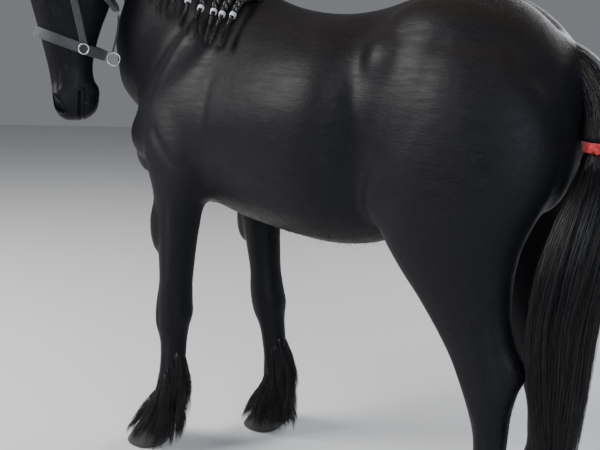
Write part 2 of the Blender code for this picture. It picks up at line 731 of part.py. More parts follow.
def feather_point(limb_name, z, turn, reach):
    """A point between the limb (reach 0) and the outline of its long hair (reach 1); turn is 0 straight ahead."""
    front, back, middle, half = limb_row(limb_name, z)
    limb_centre, limb_deep = (front + back) / 2, (back - front) / 2
    rows = np.array(FEATHER)[::-1]
    behind, deep, wide = (float(np.interp(z, rows[:, 0], rows[:, k])) for k in (1, 2, 3))
    hair_centre = (-55.2 if "fore" in limb_name else 58.5) + behind + 1.0
    x = limb_centre * (1 - reach) + hair_centre * reach
    deep = max(limb_deep * (1 - reach) + deep * reach, limb_deep * min(1.0, 0.6 + reach))
    wide = max(half * (1 - reach) + wide * reach, half * min(1.0, 0.6 + reach))
    centre = stand(limb_name, x, middle, z)
    return centre + Vector((-deep * math.cos(turn), wide * math.sin(turn), 0))


def feather_core(limb_name, holder):
    """The inner hair of a lower leg, half way from the limb to the tips."""
    rings = []
    for z in (36.0, 28.0, 20.0, 12.0, 4.0):
        turns = [2 * math.pi * i / 10 for i in range(10)]
        rings.append(scaled([feather_point(limb_name, z, turn, 0.5) for turn in turns]))
    return loft(rings, "core", holder)


def feather(limb_name, holder):
    """The long hair of a lower leg: tiers of flat locks that fall from the back of the limb over the hoof."""
    draw = random.Random(limb_name)
    locks = []
    for root, drop, count, spread, wide in FEATHER_TIERS:
        for i in range(count):
            place = (i + 0.5) / count * 2 - 1
            turn = math.pi + math.radians(spread) * (place + draw.uniform(-0.25, 0.25) / count)
            fall = drop * draw.uniform(0.86, 1.0)
            path = []
            for share, reach in ((0, 0.05), (0.35, 0.62), (0.7, 0.95), (1.0, 1.02)):
                path.append(feather_point(limb_name, max(0.9, root - fall * share), turn, reach))
            middle = stand(limb_name, (limb_row(limb_name, root)[0] + limb_row(limb_name, root)[1]) / 2, 16.4, root)
            ways = [Vector((point.x - middle.x, point.y - middle.y, 0)).normalized() for point in path[1:]]
            path[0] = path[0].lerp(Vector((middle.x, middle.y, root)), 0.35)
            locks.append(lock(path, [ways[0]] + ways, [wide * 0.6, wide, wide * 0.8, 0.25], 1.3, holder))
    return locks


def ear(side, name, holder):
    """An upright ear: a pointed leaf hollowed from its front, on a flat foot."""
    down, right, forward = head_axes()
    root = on_head(EAR_ROOT[0], side * EAR_ROOT[1], EAR_ROOT[2])
    axis = (-down * 0.95 + forward * 0.22 + right * side * 0.20).normalized()
    open_way = (forward * 0.80 + right * side * 0.60).normalized()
    open_way = (open_way - axis * open_way.dot(axis)).normalized()
    across = axis.cross(open_way)
    outer, inner = [], []
    rows = (
        (1.6, 2.5, 2.4, 0.2), (4.0, 2.9, 2.6, 0.3), (7.0, 3.2, 2.5, 0.4), (10.0, 2.9, 2.1, 0.4), (13.0, 2.0, 1.5, 0.1),
        (15.5, 1.1, 0.9, -0.5), (17.2, 0.35, 0.3, -1.1),
    )
    for along, wide, deep, sweep in resample(rows, 2.6):
        middle = root + axis * along - across * side * sweep
        outer.append(scaled(section(middle, open_way, across, deep, deep, wide, sides=10)))
    for along, wide, deep, sweep in resample(rows, 2.6)[1:-1]:
        middle = root + axis * along - across * side * sweep + open_way * 1.1
        inner.append(scaled(section(middle, open_way, across, deep, deep, wide - 0.55, sides=10)))
    leaf = loft(outer, name, holder)
    hollow = loft(inner, "hollow", holder)
    return boolean(leaf, [hollow], "DIFFERENCE")


def ear_seat(side, holder):
    """The block that cuts a flat seat for an ear out of the head."""
    down, right, forward = head_axes()
    root = on_head(EAR_ROOT[0], side * EAR_ROOT[1], EAR_ROOT[2])
    axis = (-down * 0.95 + forward * 0.22 + right * side * 0.20).normalized()
    ahead = (forward - axis * forward.dot(axis)).normalized()
    rings = [
        scaled(section(root + axis * along, ahead, axis.cross(ahead), 3.3, 3.3, 3.3, sides=16))
        for along in (1.6 - GAP / CM, 8.0)
    ]
    return loft(rings, "seat", holder)


def ball(middle, radius, name, holder, sides=12):
    return ellipsoid(middle, (radius, radius, radius), head_turn(), name, holder, sides)


def lid(side, over, holder):
    """A raised rim above or below an eye, from corner to corner."""
    down, right, forward = head_axes()
    along, out, front = EYE
    middle = on_head(along, side * out, front)
    outward = (right * side * 0.93 + forward * 0.36).normalized()
    corner = (down * 0.97 - forward * 0.24).normalized()
    corner = (corner - outward * corner.dot(outward)).normalized()
    rise = outward.cross(corner)
    if rise.dot(forward) < 0:
        rise = -rise
    rise = rise if over else -rise
    path, ways, sizes = [], [], []
    steps = 6
    for i in range(steps + 1):
        turn = math.pi * i / steps
        bow = math.sin(turn)
        point = corner * (2.75 * math.cos(turn)) + rise * ((1.55 if over else 1.35) * bow)
        depth = math.sqrt(max(0.2, 2.45**2 - min(point.length, 2.4) ** 2))
        path.append(middle + point + outward * depth * 0.93)
        ways.append(outward)
        size = 0.28 + (0.30 if over else 0.18) * bow
        sizes.append((size * 1.25, size))
    return tube(path, ways, sizes, "lid", holder, 4)


def mouth(holder):
    """The thin gap between the lips, open at the front and both sides of the muzzle."""
    rings = []
    for along, front in ((58.2, -5.2), (61, -4.7), (64, -4.1), (67, -3.4), (71, -2.4)):
        corners = ((-9, -0.16), (9, -0.16), (9, 0.16), (-9, 0.16))
        rings.append(scaled([on_head(along, out, front + high) for out, high in corners]))
    return loft(rings, "mouth", holder)


def nostril(side, holder):
    """A comma-shaped pit in the side of the muzzle."""
    down, right, forward = head_axes()
    path = [on_head(u, side * w, v) for u, w, v in ((57.6, 6.9, 4.3), (59.6, 7.0, 3.9), (61.6, 6.6, 2.9), (63.0, 5.9, 1.5))]
    ways = [right * side] * 4
    return tube(path, ways, [(0.4, 0.9), (1.0, 1.7), (1.25, 1.9), (0.7, 1.2)], "nostril", holder, 8)


def finished_head(raw, holder):
    """Eyelids, eye sockets, nostrils, mouth and seats for the ears."""
    lids = [lid(side, over, holder) for side in SIDES.values() for over in (True, False)]
    raw = boolean(raw, lids, "UNION")
    takes = [mouth(holder)]
    for side in SIDES.values():
        along, out, front = EYE
        takes.append(ball(on_head(along, side * out, front), EYE_RADIUS + GAP / CM * 1.5, "socket", holder))
        takes.append(ear_seat(side, holder))
        takes.append(nostril(side, holder))
    return boolean(raw, takes, "DIFFERENCE")


def forelock(holder):
    """Flat locks from between the ears down the forehead."""
    down, right, forward = head_axes()
    locks = []
    for i in range(FORELOCK_LOCKS):
        aside = (i - (FORELOCK_LOCKS - 1) / 2) * 2.0
        length = FORELOCK_LENGTH * (1.0 - 0.12 * (i % 2) - 0.03 * abs(aside))
        path, ways = [], []
        for share, front, out in ((-0.05, 1.4, 0.2), (0.22, 7.3, 0.6), (0.5, 9.3, 0.9), (0.78, 9.3, 1.0), (1.0, 8.9, 1.05)):
            out *= aside
            path.append(on_head(length * share, out, front - 0.035 * out * out))
            ways.append((forward + right * out * 0.06).normalized())
        locks.append(lock(path, ways, [0.9, 1.5, 1.7, 1.3, 0.15], 1.3, holder))
    return locks


class Skin:
    """The fused body's surface, to lay tack and hair on."""

    def __init__(self, obj):
        self.tree = BVHTree.FromPolygons(
            [v.co / CM for v in obj.data.vertices], [tuple(f.vertices) for f in obj.data.polygons]
        )

    def hit(self, start, end):
        """The first point of the skin on the way from start to end."""
        way = Vector(end) - Vector(start)
        found = self.tree.ray_cast(start, way.normalized(), way.length)
        return found[0], found[1]


def strap(path, normals, width, thickness, name, holder, closed=False):
    """A flat strap along points in table units, lying on the side that the normals point away from."""
    rings = []
    count = len(path)
    for i in range(count):
        before = path[(i - 1) % count] if closed or i else path[i]
        after = path[(i + 1) % count] if closed or i < count - 1 else path[i]
        run = (after - before).normalized()
        normal = (normals[i] - run * normals[i].dot(run)).normalized()
        across = run.cross(normal)
        half, edge = width / 2, thickness * 0.3
        corners = ((-half, 0), (half, 0), (half - edge, thickness), (-half + edge, thickness))
        rings.append([(path[i] + across * a + normal * b) * CM for a, b in corners])
    return loft(rings, name, holder, closed)


def around(skin, centre, ahead, across, angles, half_width, clearance, reach):
    """Points around a centre just off the skin over the width of a strap, with the way out at each."""
    axis = ahead.cross(across)
    path, ways = [], []
    for angle in angles:
        way = ahead * math.cos(angle) + across * math.sin(angle)
        far = 0.0
        for offset in (-half_width, 0, half_width):
            start = centre + axis * offset
            found, _ = skin.hit(start + way * reach, start)
            if found is not None:
                far = max(far, (found - start).length)
        path.append(centre + way * (far + clearance))
        ways.append(way)
    return path, ways


def evened(path, closed, passes=2):
    """The path with its small bumps pushed outwards into smooth turns, never nearer to the middle."""
    middle = sum(path, Vector()) / len(path)
    for _ in range(passes):
        count = len(path)
        fresh = []
        for i, point in enumerate(path):
            if not closed and i in (0, count - 1):
                fresh.append(point)
                continue
            between = (path[(i - 1) % count] + path[(i + 1) % count]) / 2
            fresh.append(between if (between - middle).length > (point - middle).length else point)
        path = fresh
    return path


def dressed(obj, look):
    mended(obj)
    obj.data.materials.clear()
    obj.data.materials.append(look)
    for face in obj.data.polygons:
        face.use_smooth = True
    return obj


def wire_ring(centre, axis, radius, thickness, name, holder):
    """A round metal ring."""
    axis = axis.normalized()
    first = axis.orthogonal().normalized()
    second = axis.cross(first)
    rings = []
    for i in range(10):
        turn = 2 * math.pi * i / 10
        out = first * math.cos(turn) + second * math.sin(turn)
        rings.append(scaled(section(centre + out * radius, out, axis, thickness, thickness, thickness, sides=4)))
    return loft(rings, name, holder, True)


def halter(skin, holder, leather, metal):
    """Noseband, cheek straps with the crown between them, throat strap, jaw strap and the ring at the jaw."""
    down, right, forward = head_axes()
    tilt = math.radians(26)
    ahead = forward * math.cos(tilt) - down * math.sin(tilt)
    centre = on_head(40.3, 0, -2.5)
    angles = [2 * math.pi * i / 22 for i in range(22)]
    path, ways = around(skin, centre, ahead, right, angles, 1.9, 0.4, 12.6)
    path = evened(path, True)
    band = [point + way * (3.4 * max(0.0, -math.cos(angle)) ** 3) for point, way, angle in zip(path, ways, angles)]
    dressed(strap(band, ways, 3.6, 0.4, "halter_noseband", holder, True), leather)

    # the crown runs from one side of the noseband over the poll to the other
    path, ways = [], []
    for u in (42.2, 38.5, 34.5, 30, 25.5, 21, 16.5, 12, 8, 5):
        v = -8.2 - 0.8 * (u - 5) / 37.2
        reach = max(out_of(skin, on_head(u, 0, v + lean), right, 24) for lean in (-1.2, 0, 1.2))
        path.append(on_head(u, reach + 0.35, v))
        ways.append(right)
    for i in range(1, 6):
        angle = math.radians(90 - 90 * i / 5)
        way = right * math.sin(angle) - down * math.cos(angle)
        reach = max(out_of(skin, on_head(5, 0, -8.2 + lean), way, 24) for lean in (-1.2, 0, 1.2))
        path.append(on_head(5, 0, -8.2) + way * (reach + 0.35))
        ways.append(way)
    mirror = [point - right * (2 * off_head(point)[1]) for point in path[-2::-1]]
    back_ways = [way - right * (2 * way.dot(right)) for way in ways[-2::-1]]
    path, ways = evened(path + mirror, False, 1), ways + back_ways
    dressed(strap(path, ways, 2.5, 0.4, "halter_crown", holder), leather)
    for name, end, joint in (("right", 0, 7), ("left", -1, -8)):
        middle = path[end] + down * 1.2 + ways[end] * 1.9
        dressed(wire_ring(middle, ways[end], 1.7, 0.3, "halter_ring_" + name, holder), metal)
        middle = path[joint] - forward * 1.2 + ways[joint] * 1.5
        dressed(wire_ring(middle, ways[joint], 1.7, 0.28, "halter_joint_" + name, holder), metal)

    # the throat strap lies over the cheeks and passes under the throat
    path, ways = [], []
    for u, v in ((13.2, -10.3), (17.2, -12.3), (21.2, -14.6), (25, -16.8)):
        reach = max(out_of(skin, on_head(u + lean, 0, v - lean), right, 24) for lean in (-0.8, 0, 0.8))
        path.append(on_head(u, reach + 0.35, v))
        ways.append(right)
    for u, w, v in ((28.6, 6.0, -19.4), (30.8, 3.0, -20.3), (31.4, 0, -20.5)):
        path.append(on_head(u, w, v))
        ways.append((right * w + down * 5).normalized())
    mirror = [point - right * (2 * off_head(point)[1]) for point in path[-2::-1]]
    back_ways = [way - right * (2 * way.dot(right)) for way in ways[-2::-1]]
    dressed(strap(path + mirror, ways + back_ways, 1.8, 0.35, "halter_throat", holder), leather)

    # the ring at the jaw and the strap from it up to the throat strap
    behind = band[11] + (band[11] - band[0]).normalized() * 3.1
    dressed(wire_ring(behind, right, 2.2, 0.32, "halter_ring_jaw", holder), metal)
    u, _, v = off_head(behind)
    low, high = on_head(u - 2.7, 0, v), on_head(33.0, 0, -21.0)
    jaw = [low.lerp(high, i / 4) - forward * 0.5 * math.sin(math.pi * i / 4) for i in range(5)]
    dressed(strap(jaw, [-forward] * len(jaw), 2.0, 0.35, "halter_jaw", holder), leather)


def out_of(skin, centre, way, reach):
    """How far the skin lies from a point inside it, seen from outside along a way."""
    found, _ = skin.hit(centre + way * reach, centre)
    return (found - centre).length if found is not None else 0.0


def crest_place(share):
    """A point of the crest, the way along it and the way down its left side, by share from withers to poll."""
    sections = neck_sections()
    place = share * (len(sections) - 1)
    k = min(int(place), len(sections) - 2)
    part = place - k
    crest = sections[k][0].lerp(sections[k + 1][0], part)
    left = sections[k][2].lerp(sections[k + 1][2], part)
    run = (sections[k + 1][0] - sections[k][0]).normalized()
    if left.y > 0:
        left = -left
    return crest, run, left.normalized()


def on_neck(skin, share, drop, lift):
    """A point off the left side of the neck, straight below the crest, and the way out there."""
    crest, _, left = crest_place(share)
    start = crest - Vector((0, 0, drop))
    base, normal = skin.hit(start + left * 30, start - left * 6)
    if base is None:
        base, normal = start, left
    out = (normal * 0.7 + left * 0.3).normalized()
    return base + out * lift, out


def crest_root(share, sink):
    crest, _, left = crest_place(share)
    return crest - Vector((0, 0, sink)) + left * 0.2, Vector((0, 0, 1))


def hang(skin, share, steps, sink=2.2):
    """A path of hair from inside the crest down the left side of the neck, and the way out at each point.

    Each step is how far below the crest a point is, and how far it is clear of the skin.
    """
    points = [crest_root(share, sink)] + [on_neck(skin, share, drop, lift) for drop, lift in steps]
    return [point for point, _ in points], [way for _, way in points]


def tube(path, ways, sizes, name, holder, sides=8):
    """A closed tube along a path, with a half width and half depth at each point."""
    rings = []
    count = len(path)
    for i in range(count):
        run = (path[min(i + 1, count - 1)] - path[max(i - 1, 0)]).normalized()
        way = (ways[i] - run * ways[i].dot(run)).normalized()
        wide, deep = sizes[i]
        rings.append(scaled(section(path[i], way, run.cross(way), deep, deep, wide, sides=sides)))
    return loft(rings, name, holder)


def lock(path, ways, widths, thickness, holder):
    """A flat lock of hair with a low ridge on its outer face, tapering to its tip."""
    rings = []
    count = len(path)
    for i in range(count):
        run = (path[min(i + 1, count - 1)] - path[max(i - 1, 0)]).normalized()
        way = (ways[i] - run * ways[i].dot(run)).normalized()
        across = run.cross(way)
        deep = thickness * min(1.0, widths[i] / max(widths) + 0.15)
        rings.append(
            scaled([path[i] + across * widths[i] - way * deep * 0.4, path[i] + way * deep * 0.6,
                    path[i] - across * widths[i] - way * deep * 0.4])
        )
    return loft(rings, "lock", holder)


def plait_lift(share):
    return 2.4 + max(0.0, 0.5 - share) * 2.4


def plait(skin, share, length, holder):
    """A plait through its band to the loose hair, with the place, the axis and the way out of the band."""
    lift = plait_lift(share)
    steps = [(0.8, 0.3), (0.8 + length * 0.2, 1.3), (0.8 + length * 0.5, lift), (0.8 + length * 0.86, lift)]
    steps += [(length + 2.4, lift), (length + 5.3, lift)]
    path, ways = hang(skin, share, steps)
    above = length * 0.14
    path.insert(5, path[4].lerp(path[5], above / (above + 1.6)))
    ways.insert(5, ways[4])
    sizes = [(1.5, 1.2), (1.55, 1.15), (1.5, 1.1), (1.3, 1.0), (0.84, 0.74), (0.72, 0.66), (0.95, 0.6), (0.7, 0.4)]
    run = (path[6] - path[4]).normalized()
    return tube(path, ways, sizes, "plait", holder, 4), (path[5], run, ways[5])


def gathered(skin, share, toward, length, holder):
    """A flat lock from the crest beside a plait, drawn in to its band."""
    steps = ((0.8, 0.1, 1.0), (0.8 + length * 0.35, 0.7, 0.62), (0.8 + length * 0.7, 1.5, 0.25))
    points = [crest_root(share + toward, 1.6)] + [
        on_neck(skin, share + toward * aside, drop, lift) for drop, lift, aside in steps
    ]
    path, ways = [point for point, _ in points], [way for _, way in points]
    return lock(path, ways, [1.5, 1.7, 1.2, 0.3], 1.2, holder)


def tassel(skin, share, length, holder):
    """The flat locks of loose hair that spread below the band of a plait."""
    lift = plait_lift(share)
    locks = []
    for i in range(TASSEL_LOCKS):
        aside = (i - (TASSEL_LOCKS - 1) / 2) * 0.016
        reach = TASSEL_LENGTH * (1.0 - 0.14 * (i % 2))
        steps = [(length + 3.6, lift, 0.0), (length + 3.6 + reach * 0.5, lift, 1.0), (length + 3.6 + reach, lift, 1.7)]
        points = [on_neck(skin, share + aside * out, drop, high) for drop, high, out in steps]
        locks.append(lock([point for point, _ in points], [way for _, way in points], [0.6, 1.2, 0.12], 0.9, holder))
    return locks


def loose_mane(skin, holder):
    """The unplaited hair behind the poll, in flat locks down the left side of the neck."""
    locks = []
    for i in range(LOOSE_LOCKS):
        part = i / (LOOSE_LOCKS - 1)
        share = LOOSE_START + (LOOSE_END - LOOSE_START) * part
        length = LOOSE_LENGTH * (1.0 - 0.5 * part) * (1.0 - 0.12 * (i % 2))
        steps = [(0.8, 0.2), (length * 0.3, 1.0), (length * 0.65, 1.3), (length, 1.2)]
        path, ways = hang(skin, share, steps, 1.8)
        locks.append(lock(path, ways, [1.5, 1.9, 1.9, 1.5, 0.15], 1.3, holder))
    return locks


def hair_band(place, run, way, name, holder):
    """A band around the narrow end of a plait."""
    way = (way - run * way.dot(run)).normalized()
    across = run.cross(way)
    profile = ((-0.75, 0.12), (-0.65, 0.42), (0.65, 0.42), (0.75, 0.12))
    bm = bmesh.new()
    count = 7
    rows = []
    for i in range(count):
        turn = 2 * math.pi * i / count
        row = []
        for along, grow in profile:
            out = across * ((0.80 + grow) * math.cos(turn)) + way * ((0.74 + grow) * math.sin(turn))
            row.append(bm.verts.new((place + run * along + out) * CM))
        rows.append(row)
    for i in range(count):
        a, b = rows[i], rows[(i + 1) % count]
        for j in range(len(profile)):
            k = (j + 1) % len(profile)
            bm.faces.new((a[j], a[k], b[k]))
            bm.faces.new((a[j], b[k], b[j]))
    return object_from(bm, name, holder)


def mane(skin, holder):
    """All hair of the mane, to be joined to the neck, and the places of the bands."""
    hair, bands = loose_mane(skin, holder), []
    space = (PLAITS[-1][0] - PLAITS[0][0]) / (len(PLAITS) - 1)
    for share, length in PLAITS:
        form, band = plait(skin, share, length, holder)
        hair.append(form)
        bands.append(band)
        hair.append(gathered(skin, share, space * 0.5, length, holder))
        hair += tassel(skin, share, length, holder)
    return hair, bands


def tail_ribbon(holder):
    """A narrow ribbon around the waist of the tail with a flat knot on its left."""
    rows = numbered(TAIL, 0.1)[::-1]
    level = TAIL[5][1]
    profile = ((-1.1, 0.14), (-1.0, 0.5), (1.0, 0.5), (1.1, 0.14), (0, 0.10))
    count = 16
    bm = bmesh.new()
    made = []
    for i in range(count):
        turn = 2 * math.pi * i / count
        row = []
        for along, grow in profile:
            x, wide, deep, y = (np.interp(level + along, rows[:, 1], rows[:, k]) for k in (0, 2, 3, 4))
            out = Vector(((deep + 0.3 + grow) * math.cos(turn), (wide + 0.3 + grow) * math.sin(turn), along))
            row.append(bm.verts.new((Vector((x, y, level)) + out) * CM))
        made.append(row)
    for i in range(count):
        a, b = made[i], made[(i + 1) % count]
        for j in range(len(profile)):
            k = (j + 1) % len(profile)
            bm.faces.new((a[j], a[k], b[k]))
            bm.faces.new((a[j], b[k], b[j]))
    band = object_from(bm, "tail_ribbon", holder)
    x, z, wide, deep, y = TAIL[5]
    knot = ellipsoid((x - 0.4, y - wide - 1.55, z + 0.1), (1.5, 0.85, 1.3), Matrix.Identity(3), "knot", holder, 10)
    return boolean(band, [knot], "UNION")


def limb_planes(limb_name, upper):
    """The planes that part off the upper or the lower half of a limb."""
    end, side = limb_name.split("_")
    apart = ((0, 0, 0), (0, SIDES[side], 0))
    joint = KNEE_CUT if end == "fore" else HOCK_CUT
    lengthwise = ((0, 0, 0), (-1 if end == "fore" else 1, 0, 0))
    point, normal = FORE_CUT if end == "fore" else HIND_CUT
    if upper:
        return [(point, normal), lengthwise, apart, ((0, 0, joint), (0, 0, 1))]
    return [((0, 0, joint), (0, 0, -1)), lengthwise, apart]


def set_on_origin(holder):
    """Hangs every piece from an empty that brings the middle of the horse's box to the origin."""
    base = bpy.data.objects.new("horse_base", None)
    for obj in holder.objects:
        obj.parent = base
    holder.objects.link(base)
    base.location = (-MIDDLE[0] * CM, -MIDDLE[1] * CM, 0)


def main():
    clear_scene()
    horse = collection("friesian_horse")
    coat = material("coat", COAT, 0.42)
    hair = material("hair", HAIR, 0.5)
    horn = material("horn", HORN, 0.5)
    leather = material("leather", LEATHER, 0.6)
    metal = material("metal", METAL, 0.3, 1.0)
    white = material("white_band", WHITE, 0.6)
    red = material("red_ribbon", RED, 0.5)
    glass = material("eye", EYE_COLOUR, 0.08)

    whole = whole_body(horse)
    skin = Skin(whole)
    body = thinned(whole, "body", horse, 60000)

    raw_head = part_off(body, "head", horse, head_planes(), 1000)
    finished = finished_head(raw_head, horse)
    finished = boolean(finished, forelock(horse), "UNION", "MANIFOLD")
    dressed(finished, coat)

    neck_point, neck_way = NECK_CUT
    hair_of_mane, bands = mane(skin, horse)
    nape = part_off(body, "neck", horse, [(neck_point, neck_way)], 540, without_head=True)
    dressed(boolean(nape, hair_of_mane, "UNION", "MANIFOLD"), coat)
    for i, (place, run, way) in enumerate(bands):
        dressed(hair_band(place, run, way, "mane_band_%02d" % (i + 1), horse), white)

    torso_planes = [
        (neck_point, turned(neck_way)), (FORE_CUT[0], turned(FORE_CUT[1])), (HIND_CUT[0], turned(HIND_CUT[1])),
    ]
    torso = part_off(body, "torso", horse, torso_planes, 1100)
    dock_room = loft(tail_rings(8, grow=0.06), "dock_room", horse)
    dressed(boolean(torso, [dock_room], "DIFFERENCE"), coat)
    dressed(boolean(loft(tail_core(), "tail", horse), tail_locks(horse), "UNION", "MANIFOLD"), hair)
    dressed(tail_ribbon(horse), red)

    for limb_name in LEAN:
        dressed(part_off(body, limb_name + "_upper", horse, limb_planes(limb_name, True), 210), coat)
        lower = part_off(body, limb_name + "_lower", horse, limb_planes(limb_name, False), 150)
        lower = boolean(lower, [feather_core(limb_name, horse)] + feather(limb_name, horse), "UNION", "MANIFOLD")
        lower = boolean(lower, [hoof(limb_name, "grown", horse, 0.05)], "DIFFERENCE")
        dressed(lower, coat)
        dressed(hoof(limb_name, limb_name + "_hoof", horse), horn)

    for side_name, side in SIDES.items():
        dressed(ear(side, "ear_" + side_name, horse), coat)
        along, out, front = EYE
        dressed(ball(on_head(along, side * out, front), EYE_RADIUS, "eye_" + side_name, horse), glass)

    halter(skin, horse, leather, metal)
    bpy.data.objects.remove(body)
    set_on_origin(horse)


main()
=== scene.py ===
"""The looks of a life-size Friesian horse, built around its solids: skin, hair, halter, bands and ribbon.

The file is laid out as an add-on, and each operator makes one group of pieces. Tables are in units of CM,
close to a centimetre, in the horse's own frame: it faces -X, its left side is -Y, and it stands on z = 0.
"""

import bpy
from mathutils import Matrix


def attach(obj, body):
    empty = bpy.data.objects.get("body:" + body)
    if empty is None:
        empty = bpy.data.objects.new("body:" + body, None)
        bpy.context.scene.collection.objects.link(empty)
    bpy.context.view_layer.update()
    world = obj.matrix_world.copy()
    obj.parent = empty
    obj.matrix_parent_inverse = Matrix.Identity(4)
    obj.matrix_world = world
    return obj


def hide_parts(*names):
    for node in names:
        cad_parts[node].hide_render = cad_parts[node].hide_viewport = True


bl_info = {
    "name": "Friesian horse",
    "version": (1, 0, 0),
    "blender": (4, 5, 0),
    "location": "3D View > Sidebar > Horse",
    "description": "Builds the skin, hair and tack of a life-size Friesian horse",
    "category": "Object",
}

from math import copysign, cos, exp, pi, radians, sin, sqrt

import bmesh
import bpy
import numpy as np
from bpy.props import FloatProperty, FloatVectorProperty, IntProperty, PointerProperty
from bpy.types import Operator, Panel, PropertyGroup
from mathutils import Matrix, Vector
from mathutils.bvhtree import BVHTree

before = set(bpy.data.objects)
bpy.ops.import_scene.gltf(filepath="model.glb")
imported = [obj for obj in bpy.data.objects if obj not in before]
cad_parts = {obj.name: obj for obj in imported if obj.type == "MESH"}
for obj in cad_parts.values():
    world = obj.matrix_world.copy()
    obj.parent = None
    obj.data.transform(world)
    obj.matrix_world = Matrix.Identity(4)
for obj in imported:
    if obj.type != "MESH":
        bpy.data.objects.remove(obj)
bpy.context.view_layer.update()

CM = 1.60 / 166  # unit of every table, from the height at the withers
OFFSET = np.array((9.5, 8.7, 0.0))  # from the tables to the frame of the solids
COAT_DEPTH = 0.08  # how far the skin lies inside the solids

# Stance of the limbs and the pose of the head
LEAN = {
    "fore_left": (-7.0, -3.5),
    "fore_right": (18.0, 2.5),
    "hind_left": (2.0, 0.0),
    "hind_right": (6.0, 0.0),
}
PIVOT = {"fore": 118.0, "hind": 128.0}
ELBOW_TOP = 106.0  # muscles with their middle below this level lean with the limb
SIDES = {"left": -1, "right": 1}
POLL = np.array((-99.9, -39.2, 184.5))
HEAD_TURN = radians(40)
HEAD_TUCK = radians(8)

# Trunk sections along X: x, top, keel, half width, height of the widest level, crown and keel fullness
TRUNK = (
    (-82.56, 126.8, 113.8, 6.12, 119.8, 2, 2),
    (-79.2, 135.8, 105.8, 14.28, 119.8, 2, 2.2),
    (-72, 146.8, 98.3, 20.4, 119.8, 2, 2.3),
    (-62.4, 156.8, 93.8, 23.46, 119.8, 1.9, 2.3),
    (-51.84, 163.3, 91.2, 24.99, 119.8, 1.65, 2.3),
    (-43.2, 165.8, 90.7, 25.7, 119.8, 1.5, 2.2),
    (-32.64, 163.8, 88.2, 27.03, 120.8, 1.55, 2.1),
    (-21.12, 159.8, 86.6, 28.87, 121.8, 1.75, 2.1),
    (-7.68, 157.4, 85.4, 30.6, 122.8, 1.95, 2.1),
    (4.8, 157, 85.4, 30.91, 123.8, 1.95, 2.1),
    (15.36, 158.8, 87.2, 28.6, 124.8, 1.75, 2.1),
    (25.92, 161.8, 91.8, 26.6, 128.8, 1.9, 2),
    (36.48, 164.3, 98.4, 26.52, 132.8, 2.15, 2),
    (48, 163.3, 105.4, 25.5, 133.8, 2.1, 2),
    (58.56, 159.3, 108.4, 23.26, 132.8, 2.05, 2),
    (67.2, 152.3, 111.4, 18.87, 131.8, 2, 2),
    (73.92, 143.3, 115.4, 12.75, 129.8, 2, 2),
    (77.28, 134.8, 121.4, 6.12, 128.8, 2, 2),
)

# Limb sections down Z: height, front edge, back edge, middle from the centre plane, half width
FORE_LIMB = (
    (123.8, -69.8, -41.8, 16.5, 8.2),
    (113.8, -69.8, -38.8, 17.5, 8.8),
    (105.8, -67.8, -37.8, 18, 8.6),
    (98.8, -64.3, -38.8, 18, 8.1),
    (91.7, -61.8, -42.8, 17.6, 7.4),
    (82.9, -60, -44.6, 17.2, 6.6),
    (72.1, -58.8, -45.6, 16.8, 6.1),
    (62.8, -58, -46, 16.5, 5.9),
    (57, -58.5, -45.6, 16.4, 6.4),
    (52.1, -58.6, -44.9, 16.4, 6.5),
    (47.4, -58, -46, 16.4, 5.9),
    (43.3, -56.4, -46.2, 16.3, 5.0),
    (36.1, -55.6, -46, 16.2, 4.5),
    (29.9, -55.6, -46, 16.2, 4.5),
    (25, -56.2, -45.2, 16.2, 5.1),
    (20.6, -57.2, -46.2, 16.3, 4.5),
    (15.5, -59.4, -49.2, 16.4, 4.2),
    (11.3, -61.2, -49.2, 16.5, 5.1),
    (7.7, -62.2, -49.8, 16.5, 5.5),
    (4.1, -62.8, -50.8, 16.5, 5.5),
)
HIND_LIMB = (
    (145.8, 23.5, 63.5, 14.5, 10.7),
    (133.8, 21.5, 72.5, 16, 12.8),
    (121.8, 21, 76, 17, 13.1),
    (111.8, 22.5, 74.5, 17.8, 12.4),
    (103.8, 24, 71, 18.2, 11.2),
    (95.8, 27, 68, 18, 9.7),
    (87.5, 32.5, 66.5, 17.4, 8.2),
    (78.8, 39.5, 66.5, 16.8, 6.7),
    (70, 45.9, 68.7, 16.4, 5.8),
    (63.9, 49.8, 71.7, 16.2, 5.5),
    (57.7, 53.2, 69.7, 16.2, 5.8),
    (51.1, 56.2, 68.3, 16.2, 5.5),
    (44.7, 58.2, 68, 16.2, 4.8),
    (36.1, 59, 67.8, 16.2, 4.5),
    (29.9, 59, 67.8, 16.2, 4.5),
    (25, 57.5, 68.1, 16.2, 4.9),
    (20.6, 56.3, 66.9, 16.3, 4.5),
    (15.5, 54.1, 64.3, 16.4, 4.2),
    (11.3, 52.3, 64.1, 16.5, 5),
    (7.7, 51.1, 63.5, 16.5, 5.4),
    (4.1, 50.3, 62.5, 16.5, 5.4),
)

# Neck sections from the trunk to the poll: crest x, y, z, throat x, y, z, half width, and the fullness
# of crest and throat
NECK = (
    (-34.56, 0, 162.8, -63.36, 0, 102.8, 20.4, 1.7, 2),
    (-45.12, -0.3, 167.8, -79.5, -3.0, 115.3, 17.85, 1.7, 2),
    (-54.72, -1.5, 174.8, -90.0, -10.0, 127.6, 15.6, 1.65, 2),
    (-64.2, -4.3, 181.6, -91.4, -12.3, 138.0, 13.5, 1.65, 2),
    (-73.5, -9.0, 186.9, -92.0, -12.8, 147.9, 11.8, 1.65, 2),
    (-81.4, -15.1, 190.0, -88.6, -11.8, 157.5, 10.4, 1.7, 2.1),
    (-87.8, -21.8, 190.9, -88.2, -16.3, 164.4, 9.49, 1.75, 2.1),
    (-92.4, -28.0, 190.0, -87.6, -20.5, 169.2, 8.77, 1.8, 2.1),
    (-96.0, -33.7, 187.8, -87.9, -24.7, 172.8, 8.16, 1.9, 2.1),
)

